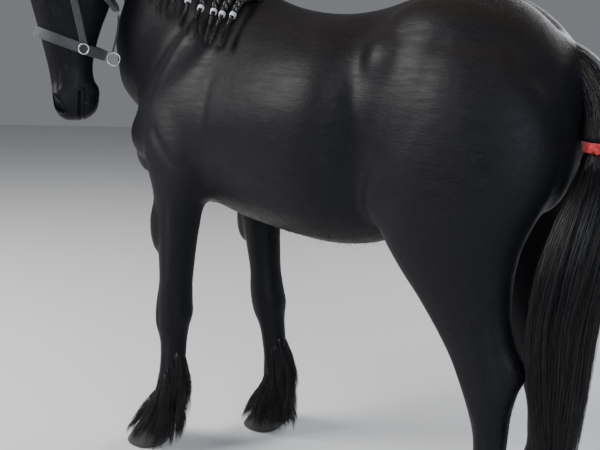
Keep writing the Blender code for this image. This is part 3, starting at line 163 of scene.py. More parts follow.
# Head sections down its length: from the poll, face line, jaw line, half width, widest level, and the
# fullness of face and jaw
HEAD = (
    (-3.0, 0.0, -7.0, 3.2, -3.5, 2.0, 2.0),
    (0.0, 3.2, -9.5, 5.4, -3.5, 2.0, 2.0),
    (6.0, 6.2, -14.0, 7.6, -3.0, 2.2, 2.0),
    (12.0, 7.6, -18.8, 8.7, -3.0, 2.4, 2.1),
    (20.0, 8.0, -20.8, 9.2, -2.5, 2.6, 2.1),
    (28.0, 7.3, -19.4, 8.2, -3.0, 2.6, 2.1),
    (36.0, 6.4, -15.2, 6.7, -2.5, 2.6, 2.0),
    (44.0, 5.7, -11.6, 5.6, -2.0, 2.5, 2.0),
    (50.0, 5.3, -9.8, 5.1, -1.8, 2.4, 2.0),
    (56.0, 5.4, -9.8, 5.4, -1.8, 2.3, 2.1),
    (61.0, 5.2, -10.0, 5.9, -1.8, 2.2, 2.2),
    (65.0, 3.9, -8.6, 5.3, -2.2, 2.0, 2.2),
    (67.5, 1.8, -6.2, 3.6, -2.5, 2.0, 2.0),
)

# Muscles and bones that stand out, mirrored: middle x, y, z, half sizes along X, Y, Z, and lean about Y
# in degrees
MUSCLES = (
    (-55.7, 14.5, 134.8, 10.5, 9, 24, 37),  # shoulder blade
    (-50.9, 16.5, 112.8, 13.5, 9.6, 15, -28),  # triceps
    (-72, 14, 114.8, 9, 7.8, 10, 20),  # point of the shoulder
    (-76.8, 7.5, 110.8, 7.5, 8.6, 13, 12),  # breast
    (-41.8, 17.5, 99.8, 4.5, 4.6, 5.5, 0),  # elbow
    (-57.6, 18.3, 86.5, 5.6, 5.6, 14, 8),  # forearm
    (27.5, 15.8, 140, 11.5, 10.6, 12.5, 0),  # point of the hip
    (42.2, 12, 146.8, 22, 11.8, 13.5, 10),  # croup
    (50.9, 16, 125.8, 19, 12.8, 25, -10),  # thigh
    (32.6, 17, 111.8, 11.5, 11, 17, 20),  # front of the thigh
    (27.8, 19, 104.8, 5.4, 5.4, 6, 0),  # kneecap
    (67.2, 10, 124.8, 10, 9.8, 20, -6),  # hamstrings
    (45.1, 17.6, 90.6, 9.5, 7, 15, -28),  # gaskin
)

# Bumps of the head in its own measures: from the poll, out to the side, forward of the axis, and half sizes
HEAD_BUMPS = (
    (19.0, 6.5, 5.2, 5.2, 3.0, 2.5),  # brow
    (23.5, 6.6, 0.6, 5.0, 2.8, 2.6),  # below the eye
    (21.0, 5.4, -12.0, 9.0, 4.2, 8.6),  # cheek
    (33.0, 5.2, -0.8, 8.5, 1.7, 1.5),  # facial crest
    (59.5, 4.3, 2.4, 4.6, 2.5, 3.0),  # nostril
    (63.0, 2.6, 0.8, 4.4, 3.8, 4.4),  # upper lip
    (62.5, 1.8, -6.8, 3.8, 3.4, 3.4),  # lower lip
    (58.0, 0.6, -8.6, 3.4, 3.2, 2.8),  # chin
)
EYE = np.array((21.0, 8.1, 3.0))  # middle of the eyeball in the head's measures
EYE_RADIUS = 2.25
EAR_ROOT = np.array((-0.5, 4.6, -1.5))

# Hooves: middle, half length and half width at the ground and at the coronet
HOOF = {"fore": (-60.4, -55.4, 7.6, 7.4, 6.6, 6.0), "hind": (52.5, 57.5, 7.2, 6.8, 6.4, 5.8)}
CORONET = (9.4, 5.0)  # height at the toe and at the heel

# Outline of the long hair of a lower leg: height, middle behind the cannon's front, half depth, half width
FEATHER = (
    (40.0, 7.2, 3.2, 3.4), (35.0, 6.8, 4.2, 4.2), (28.0, 6.0, 5.6, 5.4), (21.0, 4.2, 7.8, 7.0),
    (14.0, 1.4, 9.8, 8.8), (8.0, -1.6, 11.4, 10.2), (3.5, -3.4, 12.2, 10.8), (0.8, -4.0, 11.9, 10.4),
)

# Tail sections: x, z, half width across the horse, half depth, and how far the middle lies to the right
TAIL = (
    (67, 147.3, 4.6, 3.6, 0),
    (72, 144.3, 4.9, 4.2, 0),
    (76.5, 139.8, 5.2, 4.7, -0.8),
    (80.9, 132.8, 6, 5, -3.4),
    (82.2, 126.8, 5.9, 4.9, -6.6),
    (82.4, 124, 4.9, 4.1, -7.8),
    (82.7, 120.8, 5.7, 4.9, -8.8),
    (83.8, 112.8, 11.6, 6.2, -10.6),
    (82.0, 102.8, 15.4, 7.6, -12.8),
    (80.4, 90.8, 16.6, 8.0, -14.0),
    (79.6, 76.8, 15.2, 7.8, -14.2),
    (80.2, 62.8, 12, 6.8, -12.6),
    (80.0, 46.1, 9.0, 6, -10),
    (80.0, 31.4, 6.6, 4.6, -8),
    (80.2, 18.8, 3.6, 2.8, -7),
    (80.2, 13.6, 1, 0.8, -7),
)
RIBBON_LEVEL = 124.0

# Mane: place of each plait along the crest, by share from withers to poll, and its length down to the band
PLAITS = (
    (0.0, 8.5), (0.06, 10.5), (0.15, 14.0), (0.235, 17.5),
    (0.31, 18.5), (0.38, 19.0), (0.445, 19.0), (0.51, 18.5),
)
TASSEL_LENGTH = 8.5
LOOSE_START = 0.56
LOOSE_END = 0.93
LOOSE_LENGTH = 24.0
FORELOCK_LENGTH = 31.0
PLAIT_POINTS = 61
TURN_LENGTH = 5.6  # length of plait in which a strand comes back to its side
COVER_HAIRS = 15  # on each strand
GATHERED = 14  # locks drawn into each plait
TASSEL_LOCKS = 7
LOOSE_LOCKS = 44
FORELOCK_LOCKS = 30
DOCK_LOCKS = 90
BAND_TURNS = 5
BAND_STEPS = 26

# Line of a forelock: share of its length, height before the head, and how far it spreads
FORELOCK = ((-0.06, 1.2, 0.25), (0.18, 6.2, 0.6), (0.5, 7.6, 0.9), (0.78, 7.4, 1.0), (1.0, 6.9, 1.05))

# Camera: place in metres, turn from the Y axis, fall below level and roll in degrees, and focal length
CAMERA_PLACE = (1.436, -1.916, 1.351)
CAMERA_YAW = 36.7
CAMERA_PITCH = 11.4
CAMERA_ROLL = 2.6
SENSOR = 36.0
IMAGE_WIDTH = 600
FOCAL_PIXELS = 785


def unit(vectors):
    """The vectors with length one."""
    vectors = np.asarray(vectors, float)
    return vectors / np.maximum(np.linalg.norm(vectors, axis=-1, keepdims=True), 1e-9)


def head_axes():
    """The head's own axes as rows: down its length, out to its right, and forward out of its face."""
    facing = np.array((-cos(HEAD_TURN), -sin(HEAD_TURN), 0))
    rise = np.array((0, 0, 1.0))
    down = -rise * cos(HEAD_TUCK) - facing * sin(HEAD_TUCK)
    forward = facing * cos(HEAD_TUCK) - rise * sin(HEAD_TUCK)
    return np.array((down, np.cross(down, forward), forward))


AXES = head_axes()
DOWN, RIGHT, FORWARD = AXES


def on_head(measures):
    """Points given in the head's measures, in table units."""
    return POLL + np.asarray(measures, float) @ AXES


def off_head(points):
    """The head's measures of points in table units."""
    return (np.asarray(points, float) - POLL) @ AXES.T


def smooth_step(value, low, high):
    share = np.clip((value - low) / (high - low), 0, 1)
    return share * share * (3 - 2 * share)


def curve_between(a, b, slope_a, slope_b, t, span=1.0):
    """Values a share t of the way from a to b, on a smooth curve with its slopes given over a span."""
    return (
        (2 * t**3 - 3 * t**2 + 1) * a
        + (t**3 - 2 * t**2 + t) * span * slope_a
        + (3 * t**2 - 2 * t**3) * b
        + (t**3 - t**2) * span * slope_b
    )


def resample(rows, step):
    """Rows of numbers read again about every step of their first column, on a smooth curve through them."""
    rows = np.array(rows, float)
    place = rows[:, 0]
    if place[0] > place[-1]:
        return resample(rows[::-1], step)[::-1]
    wanted = np.linspace(place[0], place[-1], max(3, int(round((place[-1] - place[0]) / step)) + 1))
    slope = np.gradient(rows, place, axis=0)
    k = np.clip(np.searchsorted(place, wanted, side="right") - 1, 0, len(place) - 2)
    span = place[k + 1] - place[k]
    t = ((wanted - place[k]) / span)[:, None]
    return curve_between(rows[k], rows[k + 1], slope[k], slope[k + 1], t, span[:, None])


def numbered(rows, count):
    """Rows read again at a number of even shares of their count."""
    rows = np.array(rows, float)
    place = np.arange(len(rows), dtype=float)[:, None]
    return resample(np.hstack([place, rows]), (len(rows) - 1) / (count - 1))[:, 1:]


def square_to(run, ways):
    """The ways turned square to a run."""
    return unit(ways - run * (ways * run).sum(1, keepdims=True))


def read_table(table, level, column, *columns):
    """Columns of a table whose level column falls row by row, at levels between its rows."""
    rows = np.array(table)[::-1]
    return [np.interp(level, rows[:, column], rows[:, k]) for k in columns]


def angles_of(count):
    """Even angles of a full turn."""
    return [2 * pi * i / count for i in range(count)]


def section(middle, up, side, reach_up, reach_down, half_width, full_up=2.0, full_down=2.0, sides=32):
    """A closed ring about middle: a superellipse with its own reach and fullness above and below."""
    turn = 2 * np.pi * np.arange(sides) / sides
    c, s = np.cos(turn), np.sin(turn)
    full = np.where(s >= 0, full_up, full_down)
    reach = np.where(s >= 0, reach_up, reach_down)
    across = half_width * np.sign(c) * np.abs(c) ** (2 / full)
    along = reach * np.sign(s) * np.abs(s) ** (2 / full)
    return np.asarray(middle, float) + np.outer(across, side) + np.outer(along, up)


def hoop(middle, up, side, radius, sides):
    """A round ring about middle."""
    return section(middle, up, side, radius, radius, radius, sides=sides)


def tube_of(rings, closed=False):
    """Points and triangles of a tube through rings, closed at each end by a fan or onto its own start."""
    rings = np.asarray(rings, float)
    count, sides = rings.shape[:2]
    points = rings.reshape(-1, 3)
    i = np.arange(sides)
    j = (i + 1) % sides
    last = count if closed else count - 1
    faces = []
    for k in range(last):
        a, b = k * sides, ((k + 1) % count) * sides
        faces.append(np.stack([a + i, a + j, b + j], 1))
        faces.append(np.stack([a + i, b + j, b + i], 1))
    if not closed:
        tips = np.array([rings[0].mean(0), rings[-1].mean(0)])
        points = np.vstack([points, tips])
        first, final = count * sides, (count - 1) * sides
        faces.append(np.stack([j, i, np.full(sides, first)], 1))
        faces.append(np.stack([final + i, final + j, np.full(sides, first + 1)], 1))
    return points, np.vstack(faces)


def together(forms):
    """One set of points and triangles from several."""
    points, faces, base = [], [], 0
    for p, f in forms:
        points.append(p)
        faces.append(f + base)
        base += len(p)
    return np.vstack(points), np.vstack(faces)


def ellipsoid(middle, half_sizes, turn=None, sides=20):
    """An ellipsoid whose axes are the rows of turn."""
    turn = np.eye(3) if turn is None else turn
    rings = []
    rows = sides // 2
    for k in range(1, rows):
        tilt = pi * k / rows
        ring = hoop((0, 0, cos(tilt)), (1, 0, 0), (0, 1, 0), sin(tilt), sides)
        rings.append((ring * half_sizes) @ turn + middle)
    points, faces = tube_of(rings)
    points[-2:] = np.array(((0, 0, 1), (0, 0, -1))) * half_sizes @ turn + middle
    return points, faces


def mesh_from(name, points, faces):
    """A mesh of triangles from arrays, brought from the tables to the frame of the solids."""
    points = (np.asarray(points, float) + OFFSET) * CM
    mesh = bpy.data.meshes.new(name)
    mesh.vertices.add(len(points))
    mesh.vertices.foreach_set("co", points.astype(np.float32).ravel())
    mesh.loops.add(faces.size)
    mesh.loops.foreach_set("vertex_index", faces.astype(np.int32).ravel())
    mesh.polygons.add(len(faces))
    mesh.polygons.foreach_set("loop_start", np.arange(0, faces.size, faces.shape[1], dtype=np.int32))
    mesh.update(calc_edges=True)
    mesh.polygons.foreach_set("use_smooth", np.ones(len(faces), bool))
    return mesh


def object_of(name, mesh, look=None):
    made = bpy.data.objects.new(name, mesh)
    bpy.context.scene.collection.objects.link(made)
    if look:
        mesh.materials.append(look)
    return made


def facing_out(obj):
    """Turns all faces of a closed mesh outwards."""
    bm = bmesh.new()
    bm.from_mesh(obj.data)
    bmesh.ops.recalc_face_normals(bm, faces=bm.faces)
    bm.to_mesh(obj.data)
    bm.free()


def closed_object(name, form, look=None):
    """An object of a closed form with all its faces turned outwards."""
    made = object_of(name, mesh_from(name, *form), look)
    facing_out(made)
    return made


def piece_of(name, form, look, slot, *nodes):
    """A closed piece of the horse that rides with it and may stand for solids."""
    return kept(closed_object(name, form, look), slot, *nodes)


def kept(obj, slot, *nodes):
    """Makes the object a piece of the horse that rides with the root, in place of the solids it hides; slot
    is not used.
    """
    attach(obj, "root")
    if nodes:
        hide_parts(*nodes)
    return obj


def applied(obj):
    """Puts the outcome of the object's modifiers into its mesh."""
    bpy.context.view_layer.update()
    graph = bpy.context.evaluated_depsgraph_get()
    mesh = bpy.data.meshes.new_from_object(obj.evaluated_get(graph))
    obj.modifiers.clear()
    old = obj.data
    obj.data = mesh
    bpy.data.meshes.remove(old)


def numbers_of(items, kind, width, number=np.float32):
    """The numbers of a kind that a mesh's items hold, as rows."""
    flat = np.empty(len(items) * width, number)
    items.foreach_get(kind, flat)
    return flat.reshape(-1, width)


def normals_of(mesh):
    return numbers_of(mesh.vertex_normals, "vector", 3).astype(float)


def edges_of(mesh):
    return numbers_of(mesh.edges, "vertices", 2, np.int32)


def triangles_of(mesh):
    mesh.calc_loop_triangles()
    return numbers_of(mesh.loop_triangles, "vertices", 3, np.int32)


def table_points(mesh):
    """The mesh's points in table units."""
    return numbers_of(mesh.vertices, "co", 3).astype(float) / CM - OFFSET


def set_table_points(mesh, points):
    mesh.vertices.foreach_set("co", ((points + OFFSET) * CM).astype(np.float32).ravel())
    mesh.update()


def mark_points(mesh, name, values):
    """Stores a value on each point of the mesh, or the same one on all."""
    values = np.full(len(mesh.vertices), values, np.float32)
    mesh.attributes.new(name, "FLOAT", "POINT").data.foreach_set("value", values)


def relaxed(points, edges, weight, passes):
    """The points drawn half way towards the mean of their neighbours, by weight, a number of times."""
    a, b = edges[:, 0], edges[:, 1]
    count = len(points)
    shared = np.bincount(a, minlength=count) + np.bincount(b, minlength=count)
    shared = np.maximum(shared, 1)
    pull = (0.5 * weight)[:, None] if np.ndim(weight) else 0.5 * weight
    for _ in range(passes):
        mean = np.empty_like(points)
        for k in range(3):
            mean[:, k] = np.bincount(a, points[b, k], count) + np.bincount(b, points[a, k], count)
        points = points + (mean / shared[:, None] - points) * pull
    return points


def stand(limb_name, x, y, z):
    """A point of a square limb where the limb's lean puts it; y is measured outwards."""
    end, side = limb_name.split("_")
    share = np.maximum(0.0, (PIVOT[end] - z) / PIVOT[end])
    lean_x, lean_y = LEAN[limb_name]
    placed = np.broadcast_arrays(x + lean_x * share, SIDES[side] * y + lean_y * share, z)
    return np.stack(placed, -1).astype(float)


def trunk_form():
    rings = [
        section((x, 0, level), (0, 0, 1), (0, 1, 0), top - level, level - keel, wide, crown, base)
        for x, top, keel, wide, level, crown, base in resample(TRUNK, 2.0)
    ]
    return tube_of(rings)


def limb_table(limb_name):
    return FORE_LIMB if "fore" in limb_name else HIND_LIMB


def limb_form(limb_name):
    rings = []
    for z, front, back, middle, half in resample(limb_table(limb_name), 1.2):
        centre = stand(limb_name, (front + back) / 2, middle, z)
        deep = (back - front) / 2
        rings.append(section(centre, (-1, 0, 0), (0, 1, 0), deep, deep, half, 2.1, 2.1))
    return tube_of(rings)


def neck_sections(count=65):
    """Crest, throat, way across and the other numbers of each neck section."""
    rows = numbered(NECK, count)
    run = np.gradient(rows[:, 0:3] + rows[:, 3:6], axis=0)
    across = unit(np.cross(run * (1, 1, 0), (0, 0, 1)))
    return rows, across


def neck_form():
    rings = []
    rows, ways = neck_sections()
    for row, across in zip(rows, ways):
        crest, throat = row[0:3], row[3:6]
        reach = np.linalg.norm(crest - throat) / 2
        rings.append(section((crest + throat) / 2, unit(crest - throat), across, reach, reach, *row[6:9]))
    return tube_of(rings)


def head_forms():
    rings = []
    for along, face, jaw, wide, level, *full in resample(HEAD, 1.0):
        middle = on_head((along, 0, level))
        rings.append(section(middle, FORWARD, RIGHT, face - level, level - jaw, wide, *full))
    forms = [tube_of(rings)]
    for side in SIDES.values():
        for along, out, front, *sizes in HEAD_BUMPS:
            forms.append(ellipsoid(on_head((along, side * out, front)), sizes, AXES))
        forms.append(ellipsoid(on_head(EAR_ROOT * (1, side, 1)), (3.6, 3.0, 3.4), AXES))
    return forms


def muscle_forms():
    forms = []
    for x, y, z, long, wide, tall, lean in MUSCLES:
        c, s = cos(radians(lean)), sin(radians(lean))
        turn = np.array(((c, 0, -s), (0, 1, 0), (s, 0, c)))
        for side_name, side in SIDES.items():
            middle = np.array((x, side * y, z))
            if z < ELBOW_TOP:
                middle = stand(("fore_" if x < 0 else "hind_") + side_name, x, y, z)
            forms.append(ellipsoid(middle, (long, wide, tall), turn))
    return forms


def tail_rows(last, count):
    """Middle, way back, half width and half depth of the tail from its root down to row last."""
    rows = numbered(TAIL[:last], count)
    run = np.gradient(rows[:, :2], axis=0)
    run = unit(np.stack([run[:, 0], np.zeros(count), run[:, 1]], 1))
    middle = np.stack([rows[:, 0], rows[:, 4], rows[:, 1]], 1)
    return middle, np.cross((0, 1, 0), run), rows[:, 2], rows[:, 3]


def dock_form():
    rings = [
        section(middle, back, (0, 1, 0), deep, deep, wide)
        for middle, back, wide, deep in zip(*tail_rows(3, 8))
    ]
    return tube_of(rings)


def trunk_weight(points):
    """How much of the extra smoothing each point takes: all on the trunk, none on limbs and head."""
    along, _, front = off_head(points).T
    away = np.linalg.norm(points - on_head((22, 0, -5)), axis=1)
    clear = np.clip(away / 10 - 3, 0, 1)
    clear = np.where(along < 18, np.minimum(clear, np.clip((-front - 14) / 10, 0, 1)), clear)
    return clear * np.clip((points[:, 2] - 86) / 12, 0, 1)


def ear_frame(side):
    """Root, axis, way the cup opens and way across of an ear."""
    root = on_head(EAR_ROOT * (1, side, 1))
    axis = unit(-DOWN * 0.95 + FORWARD * 0.22 + RIGHT * side * 0.20)
    opens = FORWARD * 0.80 + RIGHT * side * 0.60
    opens = unit(opens - axis * opens.dot(axis))
    return root, axis, opens, np.cross(axis, opens)


# Ear sections from its root: half width, half depth, and how far it sweeps inwards
EAR = (
    (-1.0, 2.4, 2.3, 0.2), (1.6, 2.5, 2.4, 0.2), (4.0, 2.9, 2.6, 0.3), (7.0, 3.2, 2.5, 0.4),
    (10.0, 2.9, 2.1, 0.4), (13.0, 2.0, 1.5, 0.1), (15.5, 1.1, 0.9, -0.5), (17.2, 0.3, 0.25, -1.1),
)
EAR_SIDES = 28
EAR_WALL = 0.5
CUP_START = 2.0
CUP_END = 16.4
CUP_AHEAD = 1.1  # how far the hollow's middle lies before the ear's


def ear_forms(side):
    """The leaf of an ear and the hollow to take out of it."""
    root, axis, opens, across = ear_frame(side)
    outer, inner = [], []
    for along, wide, deep, sweep in resample(EAR, 0.6):
        middle = root + axis * along - across * side * sweep
        outer.append(section(middle, opens, across, deep, deep, wide, sides=EAR_SIDES))
        if CUP_START < along < CUP_END:
            full = smooth_step(along, 1.2, 5.2)  # the hollow begins as a dimple
            centre = middle + opens * (CUP_AHEAD * full + deep * (1 - full))
            reach, half = deep * full, (wide - EAR_WALL) * full
            inner.append(section(centre, opens, across, reach, reach, half, sides=EAR_SIDES))
    return tube_of(outer), tube_of(inner)


def boolean(obj, other, operation):
    """Adds or takes out another closed mesh, which is then removed."""
    step = obj.modifiers.new(operation.lower(), "BOOLEAN")
    step.operation = operation
    step.solver = "EXACT"
    step.object = other
    applied(obj)
    bpy.data.objects.remove(other)


# Furrows (below zero) and ridges of the skin, mirrored: height, width, and points x, y outwards, z
LINES = (
    (-0.75, 1.7, ((-88, 9, 152), (-86, 11, 141), (-82, 12.5, 130), (-77, 13, 121))),  # jugular groove
    (-0.5, 2.2, ((-36, 24, 142), (-37, 27, 128), (-36, 27.5, 114), (-38, 25, 103))),  # behind the shoulder
    (0.28, 2.2, ((-46, 19, 154), (-53, 22, 142), (-60, 23, 130), (-66, 22.5, 121))),  # shoulder blade
    (-0.3, 2.4, ((-50, 20, 154), (-58, 22.5, 140), (-66, 22.5, 127))),  # before the shoulder blade
    (-0.5, 1.6, ((-60, 26, 117), (-52, 27.5, 109), (-44, 27, 104))),  # between shoulder and arm
    (-0.55, 1.4, ((-74, 2.5, 122), (-78, 1.5, 110), (-74, 1.0, 98))),  # between the breast muscles
    (-1.0, 3.4, ((18, 25, 148), (20, 28, 136), (22, 29, 124), (22, 28, 114))),  # flank hollow
    (0.45, 1.8, ((14, 29, 116), (19, 28.5, 110), (25, 27, 106))),  # fold of the flank
    (-0.32, 2.0, ((62, 20, 146), (66, 20, 132), (67, 20, 118), (63, 22, 104), (58, 22, 92))),  # hamstrings
    (-0.16, 3.0, ((44, 24, 148), (41, 28, 134), (37, 29.5, 122))),  # before the biceps of the thigh
    (-0.6, 2.2, ((24, 0, 164), (40, 0, 166), (56, 0, 162), (66, 0, 154))),  # furrow of the croup
    (-0.25, 1.8, ((-22, 0, 161), (-6, 0, 158), (8, 0, 158), (20, 0, 162))),  # furrow of the back
    (-0.4, 1.1, ((46, 24, 98), (51, 23, 88), (56, 21.5, 76), (61, 20, 68))),  # between gaskin and its tendon
)
LIMB_LINES = {
    "fore": (
        (-0.42, 0.9, ((-50.2, 22, 44), (-50.3, 21, 36), (-50.3, 21, 28))),  # between cannon and tendons
        (-0.42, 0.9, ((-50.2, 11, 44), (-50.3, 11.5, 36), (-50.3, 11.5, 28))),
        (0.35, 1.1, ((-58.5, 16.4, 60), (-58.8, 16.4, 55), (-58.4, 16.4, 50))),  # front of the knee
        (-0.35, 0.9, ((-55.5, 22.5, 61), (-54, 23, 55), (-53.5, 22, 49))),
        (-0.35, 1.2, ((-51, 24, 98), (-52, 24, 86), (-52, 23.5, 74), (-52, 23, 66))),  # down the forearm
    ),
    "hind": (
        (-0.42, 0.9, ((62.9, 21.2, 44), (63.2, 20.9, 36), (63.2, 20.9, 28))),
        (-0.42, 0.9, ((62.9, 11.3, 44), (63.2, 11.5, 36), (63.2, 11.5, 28))),
        (-0.7, 1.5, ((60.5, 21.5, 74), (63, 21.5, 66), (65, 21.5, 60))),  # hollow before the hock's point
        (-0.7, 1.5, ((60.5, 11, 74), (63, 11, 66), (65, 11, 60))),
        (0.3, 1.0, ((54, 16.2, 60), (56.5, 16.2, 54), (58.5, 16.2, 48))),  # front of the hock
    ),
}
FACE_LINES = (
    (-0.45, 0.9, ((26, 8, -0.5), (32, 7.4, -2.4), (40, 6.2, -2.9), (48, 5.4, -2.5))),  # below the crest
    (0.22, 0.45, ((33, 7.2, 1.6), (39, 6.4, 0.4), (44, 6.0, -2.0), (46, 5.6, -5.0))),  # vein of the face
    (0.18, 0.4, ((40, 6.2, 0.2), (45, 5.6, 1.8), (51, 5.0, 2.4))),
    (-0.35, 1.0, ((12, 8.6, -6), (14, 9.2, -12), (20, 9.4, -18))),  # before the jaw's edge
    (-0.55, 1.3, ((13.5, 5.6, 4.8), (15.5, 5.8, 5.0))),  # hollow above the eye
    (0.25, 0.6, ((46, 4.2, 3.9), (52, 3.6, 4.2), (57, 3.6, 4.6))),  # edge of the nose bone
    (-0.3, 0.8, ((50, 5.0, 1.2), (55, 5.4, 1.8))),  # before the nostril
)


def distance_to_line(points, line):
    """How far each point is from a line of points."""
    line = np.asarray(line, float)
    nearest = np.full(len(points), np.inf)
    for a, b in zip(line, line[1:]):
        run = b - a
        share = np.clip((points - a) @ run / run.dot(run), 0, 1)
        nearest = np.minimum(nearest, np.linalg.norm(points - a - share[:, None] * run, axis=1))
    return nearest


def bulge(points, line, width):
    """How near each point is to a line: one on it, and fading away by width."""
    return np.exp(-((distance_to_line(points, numbered(line, 12)) / width) ** 2))


def sculpted(points, normals):
    """The skin with its furrows, ridges and veins."""
    lift = np.zeros(len(points))
    for side_name, side in SIDES.items():
        mirrored = points * (1, side, 1)
        for height, width, line in LINES:
            lift += height * bulge(mirrored, line, width)
        for end, lines in LIMB_LINES.items():
            for height, width, line in lines:
                x, y, z = np.array(line).T
                lift += height * bulge(points, stand(end + "_" + side_name, x, y, z), width)
        measures = off_head(points) * (1, side, 1)
        for height, width, line in FACE_LINES:
            lift += height * bulge(measures, line, width)
    return points + normals * (lift - COAT_DEPTH)[:, None]


# Eye opening: half length, height above and below, lid thickness over the eyeball
LID_LENGTH = 2.25
LID_ABOVE = 1.35
LID_BELOW = 1.0
LID_COVER = 0.34
EYE_SINK = 0.55  # how far the skin lies behind the eyeball's face in the opening

# Lines in the side of the muzzle: from the poll, forward of the axis, and the nostril's half width
NOSTRIL = ((57.0, 4.6, 0.45), (58.6, 4.3, 1.0), (60.4, 3.6, 1.35), (62.0, 2.5, 1.3), (63.4, 1.2, 0.6))
MOUTH = ((57.6, -5.3), (61.0, -4.7), (64.0, -4.1), (69.0, -3.1))


def eye_axes():
    """Axes of an eye in the head's measures: towards its front corner, up, and out."""
    out = unit((0, 0.93, 0.36))
    corner = np.array((0.97, 0, -0.24))
    corner = unit(corner - out * corner.dot(out))
    rise = np.cross(out, corner)
    return np.array((corner, rise if rise[2] > 0 else -rise, out))


def lid_edge(along):
    """Height of the upper and of the lower lid's edge at places between the corners."""
    bow = np.clip(1 - (along / LID_LENGTH) ** 2, 0, 1)
    return LID_ABOVE * bow**0.7, -LID_BELOW * bow**0.8


def with_eye(measures):
    """Lids around the eyeball, the opening between them, and a fold above and below."""
    axes = eye_axes()
    a, b, d = ((measures - EYE) @ axes.T).T
    upper, lower = lid_edge(a)
    outside = np.where(b > 0, b - upper, lower - b)
    past = np.abs(a) > LID_LENGTH
    outside = np.where(past, np.hypot(np.abs(a) - LID_LENGTH, b), outside)
    flat = np.minimum(np.hypot(a, b), 2.3)
    ball = np.sqrt(EYE_RADIUS**2 * 1.12 - flat**2 * 0.97)
    lid = ball + LID_COVER * (0.4 + 0.6 * smooth_step(outside, 0.0, 0.25))
    fold_above = -0.20 * np.exp(-((outside - 1.05) / 0.28) ** 2) * (b > 0)
    fold_below = 0.12 * np.exp(-((outside - 0.9) / 0.3) ** 2) * (b < 0)
    fade = smooth_step(outside, 0.35, 2.3)
    lids = lid * (1 - fade) + d * fade + (fold_above - fold_below)
    near = (np.abs(a) < 5.5) & (np.abs(b) < 4.6) & (d > -1.5) & (outside < 3)
    change = np.where(near, np.where(outside < 0, ball - EYE_SINK, lids) - d, 0)
    return measures + change[:, None] * axes[2]


def with_nostril(measures):
    """A comma-shaped pit with a raised rim in the side of the muzzle."""
    along, out, front = measures.T
    path = numbered(NOSTRIL, 24)
    reach = np.full(len(measures), np.inf)
    for u, v, wide in path:
        reach = np.minimum(reach, np.hypot(along - u, front - v) / wide)
    side = smooth_step(out, 2.2, 4.2)
    pit = -2.3 * (1 - smooth_step(reach, 0.35, 1.05)) * side
    rim = 0.42 * np.exp(-((reach - 1.32) / 0.3) ** 2) * side
    moved = measures.copy()
    moved[:, 1] += pit + rim
    moved[:, 0] += pit * -0.35
    return moved


def with_mouth(measures, normals):
    """The line between the lips, with the lips swelling beside it."""
    nearest = distance_to_line(measures[:, (0, 2)], numbered(MOUTH, 12))
    lift = -0.75 * np.exp(-((nearest / 0.26) ** 2)) + 0.22 * np.exp(-(((nearest - 0.95) / 0.5) ** 2))
    return measures + normals * lift[:, None]


def finer(obj, wanted):
    """Divides the faces all of whose corners are wanted into four."""
    bm = bmesh.new()
    bm.from_mesh(obj.data)
    edges = [e for e in bm.edges if wanted[e.verts[0].index] and wanted[e.verts[1].index]]
    bmesh.ops.subdivide_edges(bm, edges=edges, cuts=1, use_grid_fill=True)
    bm.to_mesh(obj.data)
    bm.free()


def near_features(points):
    """Points close to an eye or on the muzzle."""
    measures = off_head(points)
    eyes = np.linalg.norm(np.abs(measures) * (1, 1, 0) + measures * (0, 0, 1) - EYE, axis=1) < 5.2
    muzzle = (measures[:, 0] > 54.5) & (np.abs(measures[:, 1]) < 12) & (measures[:, 2] > -14)
    return eyes | muzzle


TRUNK_GRAIN = 0.75  # grain of skin that the rounds of smoothing are meant for
ROUNDS = 5
TRUNK_ROUNDS = 36
FACE_ROUNDS = 3


def melted(forms, grain):
    """One closed skin from forms that overlap, smoothed most on the trunk."""
    skin = closed_object("skin", together(forms))
    melt = skin.modifiers.new("melt", "REMESH")
    melt.mode = "VOXEL"
    melt.voxel_size = grain * CM
    applied(skin)
    points, edges = table_points(skin.data), edges_of(skin.data)
    finer_by = (TRUNK_GRAIN / grain) ** 2
    points = relaxed(points, edges, 1.0, round(ROUNDS * finer_by))
    points = relaxed(points, edges, trunk_weight(points), round(TRUNK_ROUNDS * finer_by))
    set_table_points(skin.data, points)
    return skin


def add_ears(skin):
    for side in SIDES.values():
        outer, inner = ear_forms(side)
        leaf = closed_object("ear_leaf", outer)
        boolean(leaf, closed_object("ear_hollow", inner), "DIFFERENCE")
        boolean(skin, leaf, "UNION")


def finer_face(skin):
    """Finer faces on the head, finer ones again at eyes and muzzle, and smooth joins of the ears.

    The smoothed points are given back.
    """
    along, out, front = off_head(table_points(skin.data)).T
    finer(skin, (along > 4) & (along < 75) & (np.abs(out) < 14) & (front > -22))
    finer(skin, near_features(table_points(skin.data)))
    points = table_points(skin.data)
    along, out, front = off_head(points).T
    face = smooth_step(along, -2.5, 0.5) * (np.abs(out) < 14) * (front > -24)
    ears = smooth_step(along, -7.5, -5.0) * (along < 2) * (np.abs(out) < 12) * 0.6
    weight = np.maximum(face, ears * (front > -8))
    points = relaxed(points, edges_of(skin.data), weight, FACE_ROUNDS)
    set_table_points(skin.data, points)
    return points


